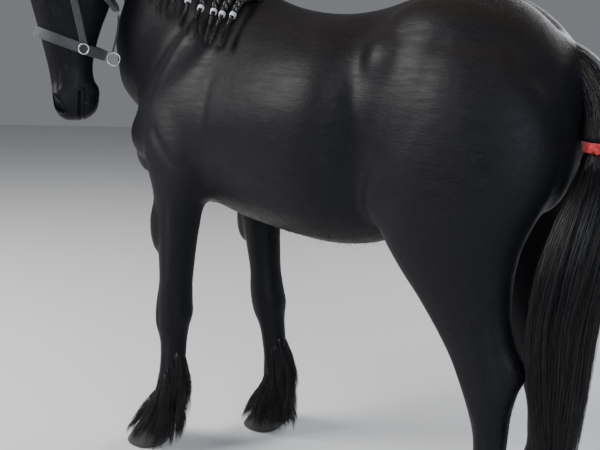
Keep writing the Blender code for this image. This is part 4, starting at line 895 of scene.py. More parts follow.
def build_skin(sizes):
    """One closed skin of the whole horse, from the tips of its ears to the coronets."""
    forms = [trunk_form(), neck_form(), dock_form()] + head_forms() + muscle_forms()
    forms += [limb_form(limb_name) for limb_name in LEAN]
    skin = melted(forms, sizes.voxel)
    add_ears(skin)
    points = sculpted(finer_face(skin), normals_of(skin.data))
    measures = with_mouth(off_head(points), normals_of(skin.data) @ AXES.T)
    for side in SIDES.values():
        mine = measures[:, 1:2] * side > 0
        done = with_nostril(with_eye(measures * (1, side, 1))) * (1, side, 1)
        measures = np.where(mine, done, measures)
    set_table_points(skin.data, on_head(measures))
    skin.data.polygons.foreach_set("use_smooth", np.ones(len(skin.data.polygons), bool))
    return skin


class Surface:
    """The skin, to lay tack and hair on, in table units."""

    def __init__(self, obj):
        mesh = obj.data
        self.tree = BVHTree.FromPolygons(table_points(mesh).tolist(), triangles_of(mesh).tolist())

    def hit(self, start, end):
        """The first point of the skin on the way from start to end, and the way out of it there."""
        way = Vector(end) - Vector(start)
        found = self.tree.ray_cast(Vector(start), way.normalized(), way.length)
        if found[0] is None:
            return None, None
        return np.array(found[0]), np.array(found[1])

    def reach(self, centre, way, far):
        """How far the skin lies from a point inside it, seen from outside along a way."""
        found, _ = self.hit(np.asarray(centre) + np.asarray(way) * far, centre)
        return float(np.linalg.norm(found - centre)) if found is not None else 0.0


# Finishes


def feed(look, made, inputs):
    """Gives a node's inputs their values, or links them from other nodes."""
    for key, value in inputs.items():
        if isinstance(value, bpy.types.NodeSocket):
            look.node_tree.links.new(value, made.inputs[key])
        else:
            made.inputs[key].default_value = value


def node(look, kind, inputs=None, **settings):
    """A node of the material with its settings, its values and its links from other sockets."""
    made = look.node_tree.nodes.new(kind)
    for key, value in settings.items():
        setattr(made, key, value)
    feed(look, made, inputs or {})
    return made


def shader_of(name, colour, roughness, metallic=0.0):
    """A material and its main shader, with the values to start from."""
    made = bpy.data.materials.new(name)
    made.use_nodes = True
    shader = made.node_tree.nodes["Principled BSDF"]
    feed(made, shader, {"Base Color": (*colour, 1), "Roughness": roughness, "Metallic": metallic})
    return made, shader


def ramp(look, factor, *stops):
    """A colour ramp over a factor from (place, colour) stops."""
    made = node(look, "ShaderNodeValToRGB", {0: factor})
    elements = made.color_ramp.elements
    for i, (place, colour) in enumerate(stops):
        element = elements[i] if i < len(elements) else elements.new(place)
        element.position = place
        element.color = (*colour, 1)
    return made.outputs["Color"]


def stretched_noise(look, scales, detail):
    """Noise over the piece's own coordinates, drawn out along the axis with the smallest scale."""
    place = node(look, "ShaderNodeTexCoord").outputs["Object"]
    scaled = node(look, "ShaderNodeMapping", {"Vector": place, "Scale": scales}).outputs["Vector"]
    inputs = {"Vector": scaled, "Scale": 1.0, "Detail": detail, "Roughness": 0.55}
    return node(look, "ShaderNodeTexNoise", inputs).outputs["Fac"]


def even_noise(look, scale, detail):
    return stretched_noise(look, (scale, scale, scale), detail)


def mixed(look, factor, a, b):
    return node(look, "ShaderNodeMix", {0: factor, 2: a, 3: b}, data_type="FLOAT").outputs[0]


def marked(look, name):
    """A value that is stored on the mesh's points."""
    return node(look, "ShaderNodeAttribute", attribute_name=name).outputs["Fac"]


def worked(look, operation, *values):
    """The outcome of a sum with numbers and sockets."""
    return node(look, "ShaderNodeMath", dict(enumerate(values)), operation=operation).outputs[0]


def ranged(look, value, low, high, start=0.0, end=1.0):
    """A value between start and end, brought to between low and high."""
    inputs = {"Value": value, "From Min": start, "From Max": end, "To Min": low, "To Max": high}
    return node(look, "ShaderNodeMapRange", inputs).outputs[0]


def raised(look, height, strength, distance, normal=None):
    """The normal of a surface raised by heights, over another normal if there is one."""
    inputs = {"Height": height, "Strength": strength, "Distance": distance}
    if normal is not None:
        inputs["Normal"] = normal
    return node(look, "ShaderNodeBump", inputs).outputs["Normal"]


def shaded(colour, share):
    return tuple(value * share for value in colour)


def coat_look(colours):
    """Short black coat: fine hair that lies back along the trunk and down the limbs, browner in random
    patches as a painted reflection on the croup, back and belly.
    """
    base = tuple(colours.coat)
    look, shader = shader_of("short_coat", base, 0.4)
    lie = marked(look, "lie")

    def lying(fine, long, detail):
        """Noise drawn out back along the trunk, and downwards on limbs and face."""
        back = stretched_noise(look, (long, fine, fine), detail)
        return mixed(look, lie, back, stretched_noise(look, (fine, fine, long), detail))

    hair = lying(420, 26, 3.0)
    streaks = lying(80, 6, 4.0)
    patches = even_noise(look, 3.1, 5.0)
    # Painted reflection: the brown tint goes, in random patches, where the skin's points store it, on faces
    # turned up and down.
    painted_reflection = worked(look, "MULTIPLY", patches, marked(look, "painted_reflection"))
    ground = ramp(look, hair, (0.25, shaded(base, 0.55)), (0.8, shaded(base, 1.5)))
    brown = ramp(look, hair, (0.25, shaded((0.030, 0.021, 0.015), 0.6)), (0.8, (0.040, 0.028, 0.020)))
    tint = node(look, "ShaderNodeMix", {0: painted_reflection, 6: ground, 7: brown}, data_type="RGBA").outputs[2]
    fine = raised(look, hair, 0.4, 0.0013)
    locks = raised(look, streaks, 0.16, 0.002, fine)
    feed(look, shader, {
        "Base Color": tint,
        "Roughness": ranged(look, mixed(look, 0.5, patches, streaks), 0.30, 0.60, 0.3, 0.7),
        "Specular IOR Level": 0.10,
        "Normal": raised(look, even_noise(look, 14, 3.0), 0.3, 0.006, locks),
    })
    return look


def hair_look(colours):
    """Long black hair: each hair has its own shade, and a narrow gloss."""
    base = tuple(colours.hair)
    look, shader = shader_of("long_hair", base, 0.34)
    shade = marked(look, "shade")
    feed(look, shader, {
        "Base Color": ramp(look, shade, (0.0, shaded(base, 0.45)), (0.7, base), (1.0, (0.034, 0.026, 0.020))),
        "Roughness": ranged(look, shade, 0.46, 0.30),
        "Specular IOR Level": 0.3,
    })
    return look


def horn_look(colours):
    """Dark hoof horn with growth rings and fine upright fibres."""
    base = tuple(colours.horn)
    look, shader = shader_of("hoof_horn", base, 0.48)
    rings = stretched_noise(look, (9, 9, 190), 2.0)
    both = mixed(look, 0.45, rings, stretched_noise(look, (460, 460, 22), 2.0))
    feed(look, shader, {
        "Base Color": ramp(look, both, (0.3, shaded(base, 0.55)), (0.62, base), (0.85, shaded(base, 2.1))),
        "Normal": raised(look, both, 0.5, 0.0015),
        "Roughness": ranged(look, rings, 0.38, 0.62),
    })
    return look


WEBBING_THREADS = 1100


def webbing_look(colours):
    """Woven webbing: threads run across and along the strap; its colour has random tone, painted shade
    between the threads and a painted highlight on their high spots.
    """
    base = tuple(colours.halter)
    look, shader = shader_of("webbing", base, 0.72)
    strap = node(look, "ShaderNodeUVMap", uv_map="strap").outputs["UV"]
    waves = []
    for axis, count in (("X", WEBBING_THREADS), ("Y", WEBBING_THREADS * 1.6)):
        inputs = {"Vector": strap, "Scale": count, "Distortion": 0.6, "Detail": 1.0}
        waves.append(node(look, "ShaderNodeTexWave", inputs, bands_direction=axis).outputs["Fac"])
    weave = worked(look, "MULTIPLY", *waves)
    # Colour from noise and weave: random tone, painted shade in the gaps between threads, and painted
    # highlight on their high spots.
    both = mixed(look, 0.6, even_noise(look, 38, 5.0), weave)
    feed(look, shader, {
        "Base Color": ramp(look, both, (0.2, shaded(base, 0.45)), (0.55, base), (0.85, shaded(base, 1.7))),
        "Normal": raised(look, weave, 0.6, 0.0008),
        "Sheen Weight": 0.2,
    })
    return look


def metal_look(colours):
    """Nickel fittings, dulled and scratched."""
    base = tuple(colours.metal)
    look, shader = shader_of("steel", base, 0.3, 1.0)
    wear = even_noise(look, 120, 6.0)
    feed(look, shader, {
        "Base Color": ramp(look, wear, (0.3, shaded(base, 0.55)), (0.6, base)),
        "Roughness": ranged(look, wear, 0.16, 0.48),
    })
    return look


def cloth_look(name, colour, scales):
    """Thread or ribbon with fine lines and a soft sheen."""
    look, shader = shader_of(name, tuple(colour), 0.62)
    lines = stretched_noise(look, scales, 3.0)
    feed(look, shader, {
        "Base Color": ramp(look, lines, (0.25, shaded(colour, 0.62)), (0.7, shaded(colour, 1.1))),
        "Normal": raised(look, lines, 0.5, 0.0008),
        "Sheen Weight": 0.3,
    })
    return look


def eye_look(colours):
    """A wet dark eyeball: brown iris with fine rays, a level pupil, and a dark rim."""
    look, shader = shader_of("eyeball", tuple(colours.eye), 0.05)
    rays = even_noise(look, 260, 4.0)
    bright = worked(look, "MULTIPLY_ADD", rays, 0.22, marked(look, "iris"))
    tint = ramp(
        look,
        bright,
        (0.16, (0.002, 0.002, 0.003)),
        (0.24, (0.030, 0.014, 0.006)),
        (0.70, (0.050, 0.024, 0.010)),
        (0.92, (0.010, 0.008, 0.010)),
        (1.0, (0.022, 0.017, 0.016)),
    )
    feed(look, shader, {"Base Color": tint, "Coat Weight": 1.0, "Coat Roughness": 0.02})
    return look


# Eyes and hooves

EYE_ROWS = 40
EYE_SIDES = 48
CORNEA = 0.10  # how far the cornea swells in front, by the eyeball's radius
IRIS_RADIUS = 1.62
PUPIL_RADIUS = 0.95
PUPIL_HEIGHT = 0.52  # by its length
HOOF_ROWS = 34
HOOF_SIDES = 64
HEEL_SHORTER = 0.6


def build_eye(side_name, look):
    """An eyeball, with the bounds of its pupil, iris and rim stored on its points."""
    side = SIDES[side_name]
    axes = (eye_axes() * (1, side, 1)) @ AXES
    corner, rise, out = axes
    centre = on_head(EYE * (1, side, 1))
    rings = []
    for k in range(1, EYE_ROWS):
        tilt = pi * k / EYE_ROWS
        clear = CORNEA * exp(-((tilt / 0.42) ** 2)) * EYE_RADIUS
        middle = centre + out * (EYE_RADIUS * cos(tilt) + clear)
        rings.append(hoop(middle, rise, corner, EYE_RADIUS * sin(tilt), EYE_SIDES))
    points, faces = tube_of(rings)
    points[-2] = centre + out * EYE_RADIUS * 1.10
    points[-1] = centre - out * EYE_RADIUS
    a, b, d = ((points - centre) @ axes.T).T
    in_pupil = np.hypot(a, b / PUPIL_HEIGHT) / PUPIL_RADIUS < 1
    iris = np.where(in_pupil, 0.0, 0.15 + 0.77 * np.clip(np.hypot(a, b) / IRIS_RADIUS, 0, 1.0))
    made = piece_of("eyeball_" + side_name, (points, faces), look, "eye", "eye_" + side_name)
    mark_points(made.data, "iris", np.where(d > 0, iris, 1.0))


def build_hoof(limb_name, look):
    """A hoof wall that slopes to its coronet, with growth rings, a rounded lower edge and a soft top."""
    ground, coronet, long, wide, long_top, wide_top = HOOF[limb_name.split("_")[0]]
    shift = stand(limb_name, 0, 16.5, 5.0)
    toe, heel = CORONET
    slant = (toe - heel) / (2 * long_top)
    level, out = (-1, 0, 0), (0, 1, 0)
    rings = []
    for inset, height in ((1.6, 0.35), (1.2, 0.0), (0.42, 0.0), (0.12, 0.15)):
        middle = (ground + shift[0], shift[1], height)
        behind = long - HEEL_SHORTER - inset
        rings.append(section(middle, level, out, long - inset, behind, wide - inset, 2.1, 2.4, HOOF_SIDES))
    for share in np.linspace(0, 1, HOOF_ROWS):
        height = 0.5 + ((toe + heel) / 2 - 0.5) * share
        middle = (ground + (coronet - ground) * share + shift[0], shift[1], height)
        growth = 0.045 * sin(share * 34) * (1 - share) * min(1, share * 8)
        ripple = growth - 0.10 * max(0, share - 0.9) * 10
        deep = long + (long_top - long) * share + ripple
        half = wide + (wide_top - wide) * share + ripple
        behind = deep - HEEL_SHORTER * (1 - share)
        up = np.array((-1, 0, slant * share))
        rings.append(section(middle, up, out, deep, behind, half, 2.1, 2.4 - 0.2 * share, HOOF_SIDES))
    piece_of("hoof_wall_" + limb_name, tube_of(rings), look, "horn", limb_name + "_hoof")


# Hair


def spaced(lines, count):
    """Every line of points read again at count even shares, on a smooth curve: an array of lines."""
    lines = np.asarray(lines, float)
    rows = lines.shape[1]
    wanted = np.linspace(0, rows - 1, count)
    k = np.minimum(wanted.astype(int), rows - 2)
    slope = np.gradient(lines, axis=1)
    t = (wanted - k)[None, :, None]
    return curve_between(lines[:, k], lines[:, k + 1], slope[:, k], slope[:, k + 1], t)


LOCK_STEPS = 9
FINE_STEPS = 24
HAIR_FLATNESS = 0.5
HAIR_PATCH = 0.0015  # half size of a hair's patch in the baking map


class Locks:
    """Locks of hair that are gathered one by one and made into pieces of solid hairs.

    A lock has a path, the way out along it, its half width and half depth, and its root's place in an unwrap.
    """

    def __init__(self, seed):
        self.draw = np.random.default_rng(seed)
        self.paths, self.ways, self.sizes, self.roots = [], [], [], []

    def add(self, path, ways, sizes, root):
        """sizes are rows of (half width, half depth); root is the share around and along its part."""
        self.paths.append(spaced([path], LOCK_STEPS)[0])
        self.ways.append(unit(spaced([ways], LOCK_STEPS)[0]))
        self.sizes.append(spaced([sizes], LOCK_STEPS)[0])
        self.roots.append(root)

    def add_line(self, line, sizes, root):
        """A lock along pairs of a point and the way out there."""
        self.add([point for point, _ in line], [way for _, way in line], sizes, root)

    def hairs(self, each, steps, thickness, shortest=0.72, wave=0.25, stray=0.08):
        """Paths, ways and half widths of all hairs of all locks."""
        draw = self.draw
        paths, ways, sizes = (spaced(x, FINE_STEPS) for x in (self.paths, self.ways, self.sizes))
        count = len(paths)
        run = unit(np.gradient(paths, axis=1))
        across = unit(np.cross(run, ways))
        aside = np.sqrt(draw.uniform(0, 1, (count, each)))
        turn = draw.uniform(0, 2 * np.pi, (count, each))
        a, b = aside * np.cos(turn), aside * np.sin(turn)
        own = draw.uniform(shortest, 1.0, (count, each))
        share = np.linspace(0, 1, steps)
        at = own[:, :, None] * share * (FINE_STEPS - 1)
        k = np.minimum(at.astype(int), FINE_STEPS - 2)
        t = (at - k)[..., None]
        row = np.arange(count)[:, None, None]

        def read(values):
            return values[row, k] * (1 - t) + values[row, k + 1] * t

        size = read(sizes)
        middle, side, out = read(paths), read(across), read(ways)
        phase = draw.uniform(0, 2 * np.pi, (count, each, 2))[:, :, None, :]
        bend = np.sin(phase + share[None, None, :, None] * draw.uniform(3, 7, (count, each, 1, 1))) * wave
        loose = draw.normal(0, stray, (count, each, 1, 2)) * share[None, None, :, None] ** 2 * 3
        offset_a = (a[:, :, None] + bend[..., 0] * share + loose[..., 0]) * size[..., 0]
        offset_b = (b[:, :, None] + bend[..., 1] * share * 0.6 + loose[..., 1]) * size[..., 1]
        lines = middle + side * offset_a[..., None] + out * offset_b[..., None]
        taper = thickness * np.clip(1.25 - share**2 * 1.15, 0.08, 1.0)
        widths = taper * draw.uniform(0.7, 1.15, (count, each, 1))
        total = count * each
        roots = np.repeat(np.array(self.roots), each, 0)
        shades = draw.uniform(0, 1, total) * 0.75 + np.repeat(draw.uniform(0, 0.25, count), each)
        shape = (total, steps, 3)
        return lines.reshape(shape), out.reshape(shape), widths.reshape(total, steps), roots, shades


def hair_mesh(name, lines, ways, widths, roots, shades):
    """A mesh of closed three-sided hairs that end in a point, with each hair's patch in the baking map."""
    count, steps = lines.shape[:2]
    run = unit(np.gradient(lines, axis=1))
    across = unit(np.cross(run, ways))
    out = np.cross(across, run)
    half = widths[..., None]
    high = out * half * HAIR_FLATNESS
    aside, low = across * half, high * 0.6
    rings = np.stack([lines + aside - low, lines + high, lines - aside - low], 2)
    own = np.concatenate([rings[:, :-1].reshape(count, -1, 3), lines[:, -1:]], 1)
    corners = own.shape[1]
    faces = [(0, 1, 2)]
    for k in range(steps - 2):
        for i in range(3):
            a, b = 3 * k + i, 3 * k + (i + 1) % 3
            faces += [(a, a + 3, b + 3), (a, b + 3, b)]
    last = 3 * (steps - 2)
    faces += [(last + i, corners - 1, last + (i + 1) % 3) for i in range(3)]
    every = (np.array(faces)[None] + (np.arange(count) * corners)[:, None, None]).reshape(-1, 3)
    mesh = mesh_from(name, own.reshape(-1, 3), every)
    patch = [(x, k / (steps - 1) * 2 - 1) for k in range(steps - 1) for x in (-1, 0, 1)] + [(0, 1)]
    places = roots[:, None, :] * 0.97 + 0.015 + np.array(patch)[None] * HAIR_PATCH
    layer = mesh.uv_layers.new(name="OFBake")
    layer.data.foreach_set("uv", places.reshape(-1, 2)[every.ravel()].astype(np.float32).ravel())
    mark_points(mesh, "shade", np.repeat(shades, corners))
    return mesh


MOST_TRIANGLES = 190000  # in one piece of hair


def hair_pieces(name, locks, look, each, steps, thickness, **looseness):
    """Pieces of at most so many triangles that hold all hairs of the locks."""
    parts = locks.hairs(each, steps, thickness, **looseness)
    per_hair = (steps - 2) * 6 + 4
    count = len(parts[0])
    groups = -(-count // (MOST_TRIANGLES // per_hair))
    for k in range(groups):
        chosen = slice(k * count // groups, (k + 1) * count // groups)
        label = name if groups == 1 else "%s_%d" % (name, k + 1)
        kept(object_of(label, hair_mesh(label, *(part[chosen] for part in parts)), look), "hair")


def limb_row(limb_name, z):
    """Front edge, back edge, middle and half width of a square limb at heights."""
    return read_table(limb_table(limb_name), z, 0, 1, 2, 3, 4)


def feather_point(limb_name, z, turn, reach):
    """Points between the limb (reach 0) and its long hair's outline (reach 1); turn is 0 straight ahead."""
    front, back, middle, half = limb_row(limb_name, z)
    limb_centre, limb_deep = (front + back) / 2, (back - front) / 2
    behind, deep, wide = read_table(FEATHER, z, 0, 1, 2, 3)
    hair_centre = (-55.2 if "fore" in limb_name else 58.5) + behind + 1.0
    x = limb_centre * (1 - reach) + hair_centre * reach
    least = np.minimum(1.0, 0.6 + reach)
    deep = np.maximum(limb_deep * (1 - reach) + deep * reach, limb_deep * least)
    wide = np.maximum(half * (1 - reach) + wide * reach, half * least)
    centre = stand(limb_name, x, middle, z)
    away = np.stack(np.broadcast_arrays(-deep * np.cos(turn), wide * np.sin(turn), 0.0), -1)
    return centre + away


def feather_locks(limb_name, count):
    """Locks from the back of the cannon and all round the pastern, down over the hoof."""
    locks = Locks(sum(map(ord, limb_name)))
    draw = locks.draw
    for _ in range(count):
        low = draw.uniform(0, 1) ** 0.7
        root = 40.0 - 29.0 * low
        spread = np.interp(root, (11, 18, 27, 40), (178, 172, 112, 38))
        turn = pi + radians(spread) * draw.uniform(-1, 1)
        drop = np.interp(root, (11, 18, 28, 40), (10.8, 16, 19, 19)) * draw.uniform(0.82, 1.05)
        deepest = draw.uniform(0.45, 1.0)
        shares = np.array((0, 0.18, 0.42, 0.7, 1.0))
        reach = np.array((-0.06, 0.40, 0.72, 0.94, 1.0)) * deepest
        heights = np.maximum(0.9, root - drop * shares)
        swing = draw.normal(0, 0.10) * shares
        path = feather_point(limb_name, heights, turn + swing, reach)
        centre = feather_point(limb_name, heights, turn, -1.0)
        ways = unit((path - centre) * (1, 1, 0) + (0, 0, 0.15))
        wide = draw.uniform(0.9, 1.5)
        sizes = [(wide * 0.16, 0.08), (wide * 0.8, 0.4), (wide * 1.1, 0.7), (wide * 0.85, 0.6)]
        sizes.append((wide * 0.3, 0.2))
        locks.add(path, ways, sizes, (turn / (2 * pi) % 1.0, root / 45))
    return locks


def tail_point(z, turn, reach):
    """Points of the hanging tail: reach 0 in its middle, 1 on its outline; turn is 0 straight back."""
    x, wide, deep, y = read_table(TAIL, z, 1, 0, 2, 3, 4)
    placed = np.broadcast_arrays(x + deep * reach * np.cos(turn), y + wide * reach * np.sin(turn), z)
    return np.stack(placed, -1)


TAIL_SIDES = 72
CORE_INSET = 0.25
HAIR_START = 121.5  # just below the ribbon


def tail_core():
    """The dock with its hair down to the ribbon, and the furrowed inner hair below it."""
    rings = []
    for middle, back, wide, deep in zip(*tail_rows(7, 40)):
        deep = deep - CORE_INSET
        rings.append(section(middle, back, (0, 1, 0), deep, deep, wide - CORE_INSET, sides=TAIL_SIDES))
    for z in np.linspace(118.6, 20, 54):
        reach = float(np.interp(z, (20, 60, 105, 113, 119), (0.25, 0.52, 0.60, 0.64, 0.90)))
        centre = tail_point(z, 0, 0)
        wide = tail_point(z, pi / 2, reach)[1] - centre[1]
        deep = tail_point(z, 0, reach)[0] - centre[0]
        rings.append(section(centre, (-1, 0, 0), (0, 1, 0), deep, deep, wide, sides=TAIL_SIDES))
    rings = np.array(rings)
    turn = (np.arange(TAIL_SIDES) / TAIL_SIDES * 2 * np.pi)[None]
    level = np.linspace(0, 1, len(rings))[:, None]
    furrow = 1 - 0.035 * np.abs(np.sin(turn * 11 + level * 5)) - 0.025 * np.sin(turn * 27 - level * 9)
    centre = rings.mean(1, keepdims=True)
    return tube_of(centre + (rings - centre) * furrow[..., None])


def tail_locks(count):
    """Locks that fall from under the ribbon, each to its own length."""
    locks = Locks(11)
    draw = locks.draw
    for i in range(count):
        turn = 2 * pi * (i * 0.618 % 1.0)
        inner = draw.uniform(0, 1)
        full = 1.0 - 0.5 * inner**1.5
        end = draw.uniform(15.0, 44.0) if draw.uniform() < 0.65 else draw.uniform(14.5, 22)
        swing = draw.normal(0, 0.22)
        shares = np.array((0, 0.05, 0.14, 0.4, 0.72, 1.0))
        reach = np.array((0.80, 0.90, 0.93, 0.96, 0.94, 0.78)) * full
        heights = HAIR_START + (end - HAIR_START) * shares
        turns = turn + swing * shares * 2
        path = tail_point(heights, turns, reach)
        ways = np.stack([np.cos(turns), np.sin(turns), np.zeros(len(turns))], 1)
        wide = draw.uniform(1.1, 2.0)
        sizes = [(wide * 0.35, 0.3), (wide * 0.6, 0.4), (wide, 0.6), (wide * 1.2, 0.8), (wide, 0.7)]
        sizes.append((wide * 0.25, 0.2))
        locks.add(path, ways, sizes, (turn / (2 * pi) % 1.0, 0.4 + 0.1 * inner))
    return locks


def dock_locks(count):
    """Hair that lies along the dock from its root into the ribbon."""
    locks = Locks(12)
    draw = locks.draw
    middle, back, wide, deep = tail_rows(6, 40)
    lift = np.array((0.86, 0.99, 1.03, 1.04, 1.03, 1.0, 0.96))[:, None]
    sizes = [(0.8, 0.12), (1.3, 0.2), (1.5, 0.25), (1.5, 0.25), (1.4, 0.25), (1.2, 0.2), (0.9, 0.15)]
    for _ in range(count):
        turn = draw.uniform(-pi, pi)
        first = int(draw.uniform(0, 22))
        picked = np.linspace(first, 39, 7).astype(int)
        if abs(turn) > 2.2 and first < 8:
            continue
        ways = back[picked] * cos(turn) * deep[picked, None]
        ways = ways + np.outer(wide[picked] * sin(turn), (0, 1, 0))
        root = (turn / (2 * pi) % 1.0, 0.02 + 0.3 * first / 22)
        locks.add(middle[picked] + ways * lift, unit(ways), sizes, root)
    return locks


def crest_place(share):
    """A point of the crest and the way down its left side, by share from withers to poll."""
    rows, across = neck_sections()
    place = share * (len(rows) - 1)
    k = max(0, min(int(place), len(rows) - 2))
    part = place - k
    crest = rows[k, 0:3] * (1 - part) + rows[k + 1, 0:3] * part
    left = across[k] * (1 - part) + across[k + 1] * part
    return crest, unit(-left if left[1] > 0 else left)


def on_neck(skin, share, drop, lift):
    """A point off the left side of the neck, straight below the crest, and the way out there."""
    crest, left = crest_place(share)
    start = crest - (0, 0, drop)
    base, normal = skin.hit(start + left * 30, start - left * 6)
    if base is None:
        base, normal = start, left
    out = unit(normal * 0.7 + left * 0.3)
    return base + out * lift, out


def crest_root(share, sink, aside=0.2):
    crest, left = crest_place(share)
    return crest - (0, 0, sink) + left * aside, np.array((0, 0, 1.0))


def plait_lift(share):
    return 2.4 + max(0.0, 0.5 - share) * 2.4


def plait_line(skin, share, length):
    """Path and way out of a plait down to below its band, and the place of the band along it."""
    lift = plait_lift(share)
    steps = ((0.8, 0.5), (0.8 + length * 0.2, 1.4), (0.8 + length * 0.5, lift), (0.8 + length * 0.86, lift))
    steps += ((length + 2.4, lift), (length + 4.2, lift))
    found = [crest_root(share, 1.4)] + [on_neck(skin, share, drop, high) for drop, high in steps]
    points, outs = zip(*found)
    path = spaced([points], PLAIT_POINTS)[0]
    ways = unit(spaced([outs], PLAIT_POINTS)[0])
    place, _ = on_neck(skin, share, length + 0.8, lift)
    return path, ways, int(np.linalg.norm(path - place, axis=1).argmin())


def braid(path, ways, tied, covers):
    """Three flat strands that cross over each other, as tubes; the hairs that cover them join the covers.

    The band holds them at point number tied of the path.
    """
    count = len(path)
    share = np.linspace(0, 1, count)
    at = tied / (count - 1)
    turns = np.linalg.norm(np.diff(path, axis=0), axis=1).sum() / TURN_LENGTH
    run = unit(np.gradient(path, axis=0))
    out = square_to(run, ways)
    across = np.cross(run, out)
    narrowing = (0, at * 0.15, at * 0.56, at * 0.92, at, at * 0.4 + 0.6, 1.0)
    size = np.interp(share, narrowing, (0.9, 1.45, 1.4, 1.0, 0.72, 0.8, 0.6))
    swing = np.interp(share, (0, at * 0.12, at * 0.88, at, 1.0), (0.4, 0.72, 0.66, 0.25, 0.3))
    forms = []
    for k in range(3):
        angle = 2 * np.pi * (share * turns + k / 3)
        a = swing * size * np.sin(angle)
        b = 0.34 * size * np.sin(2 * angle)
        line = path + across * a[:, None] + out * b[:, None]
        strand_run = unit(np.gradient(line, axis=0))
        face = square_to(strand_run, out)
        side = np.cross(strand_run, face)
        wide, deep = size * 0.62, size * 0.46
        rows = zip(line, face, side, deep, deep, wide)
        forms.append(tube_of([section(*row, sides=14) for row in rows]))
        for j, turn in enumerate(angles_of(COVER_HAIRS)):
            covers.paths.append(
                line + side * (np.cos(turn) * wide)[:, None] + face * (np.sin(turn) * deep)[:, None]
            )
            covers.ways.append(unit(side * cos(turn) * 0.8 + face * sin(turn)))
            covers.sizes.append(np.full((count, 2), 0.07))
            covers.roots.append((0.3 + 0.1 * k, j / COVER_HAIRS))
    return forms


def gather(skin, drawn, share, length, path, ways):
    """Adds the locks that run from the crest into a plait."""
    space = (PLAITS[-1][0] - PLAITS[0][0]) / (len(PLAITS) - 1)
    sizes = [(1.0, 0.3), (1.0, 0.35), (0.85, 0.4), (0.6, 0.4), (0.4, 0.3)]
    for j in range(GATHERED):
        part = j / (GATHERED - 1) - 0.5
        toward = part * space * 1.05
        low = 0.30 + 0.22 * (1 - abs(part) * 2)
        k = int((PLAIT_POINTS - 1) * (0.16 + low * 0.45))
        line = [
            crest_root(share + toward, 1.0, 0.2),
            on_neck(skin, share + toward, 0.7, 0.35),
            on_neck(skin, share + toward * 0.75, length * low * 0.4, 0.9),
            on_neck(skin, share + toward * 0.3, length * low * 0.75, 1.3),
            (path[k], ways[k]),
        ]
        drawn.add_line(line, sizes, (share + toward, 0.05))


def add_tassel(skin, ends, share, length, reach):
    """Adds the loose ends of a plait below its band."""
    lift = plait_lift(share)
    sizes = [(0.35, 0.3), (0.5, 0.4), (0.6, 0.45), (0.2, 0.2)]
    for j in range(TASSEL_LOCKS):
        aside = (j / (TASSEL_LOCKS - 1) - 0.5) * 0.030
        tip = length + 3.2 + reach * ends.draw.uniform(0.85, 1.05)
        steps = ((length + 1.6, 0.0), (length + 4.2, 0.35), (length + 3.6 + reach * 0.5, 0.8), (tip, 1.2))
        line = [on_neck(skin, share + aside * out, drop, lift) for drop, out in steps]
        ends.add_line(line, sizes, (share, 0.3 + 0.05 * j))


def build_mane(skin, hair, white):
    """Plaits along the crest with the hair drawn into them, their loose ends, and the unplaited mane."""
    forms, covers, drawn, ends = [], Locks(30), Locks(21), Locks(22)
    for i, (share, length) in enumerate(PLAITS):
        path, ways, tied = plait_line(skin, share, length)
        forms += braid(path, ways, tied, covers)
        run = unit(path[tied + 1] - path[tied - 1])
        number = "%02d" % (i + 1)
        wound_band(path[tied], run, ways[tied], "band_" + number, white, "mane_band_" + number)
        gather(skin, drawn, share, length, path, ways)
        add_tassel(skin, ends, share, length, TASSEL_LENGTH * (1.05 - 0.1 * (i % 2)))
    made = piece_of("plaits", together(forms), hair, "hair", "neck")
    mark_points(made.data, "shade", 0.2)
    hair_pieces("plait_hair", covers, hair, 1, 46, 0.10, shortest=0.98, wave=0.8, stray=0.3)
    hair_pieces("crest_hair", drawn, hair, 26, 9, 0.085, shortest=0.8)
    hair_pieces("plait_ends", ends, hair, 15, 8, 0.075, wave=0.5, stray=0.15)
    hair_pieces("loose_mane", loose_locks(skin), hair, 34, 10, 0.085, wave=0.4)


def loose_locks(skin):
    """Locks of the unplaited mane, shorter towards the poll."""
    loose = Locks(23)
    draw = loose.draw
    sizes = [(1.0, 0.2), (1.1, 0.25), (1.2, 0.35), (1.3, 0.45), (1.1, 0.5), (0.3, 0.2)]
    for i in range(LOOSE_LOCKS):
        part = i / (LOOSE_LOCKS - 1)
        share = LOOSE_START + (LOOSE_END - LOOSE_START) * part
        length = LOOSE_LENGTH * (1.0 - 0.5 * part) * draw.uniform(0.7, 1.05)
        lift = draw.uniform(0.4, 1.5)
        line = [crest_root(share, 0.9, draw.uniform(-1.0, 0.4)), crest_root(share, -0.15, 0.8)]
        sway = draw.normal(0, 0.008)
        for down, high, out in ((0.06, 0.5, 0), (0.3, 0.8, 0.3), (0.65, 1.0, 0.7), (1.0, 0.9, 1.0)):
            line.append(on_neck(skin, share + sway * out, 0.8 + length * down, high * lift))
        loose.add_line(line, sizes, (share, 0.1))
    return loose


def build_forelock(hair):
    """Locks from between the ears down the forehead."""
    locks = Locks(24)
    draw = locks.draw
    sizes = [(0.8, 0.3), (1.0, 0.4), (1.1, 0.5), (0.9, 0.45), (0.25, 0.2)]
    for _ in range(FORELOCK_LOCKS):
        aside = draw.uniform(-1, 1) * 4.4
        length = FORELOCK_LENGTH * draw.uniform(0.6, 1.0) * (1.0 - 0.03 * abs(aside))
        lift = draw.uniform(0.2, 1.0)
        line = []
        for share, front, out in FORELOCK:
            out *= aside
            sunk = 0.035 * out * out
            point = on_head((length * share, out, front - sunk + lift * (share > 0)))
            line.append((point, FORWARD + RIGHT * out * 0.06))
        locks.add_line(line, sizes, (0.5 + aside / 12, 0.1))
    hair_pieces("forelock", locks, hair, 34, 10, 0.08, wave=0.45)


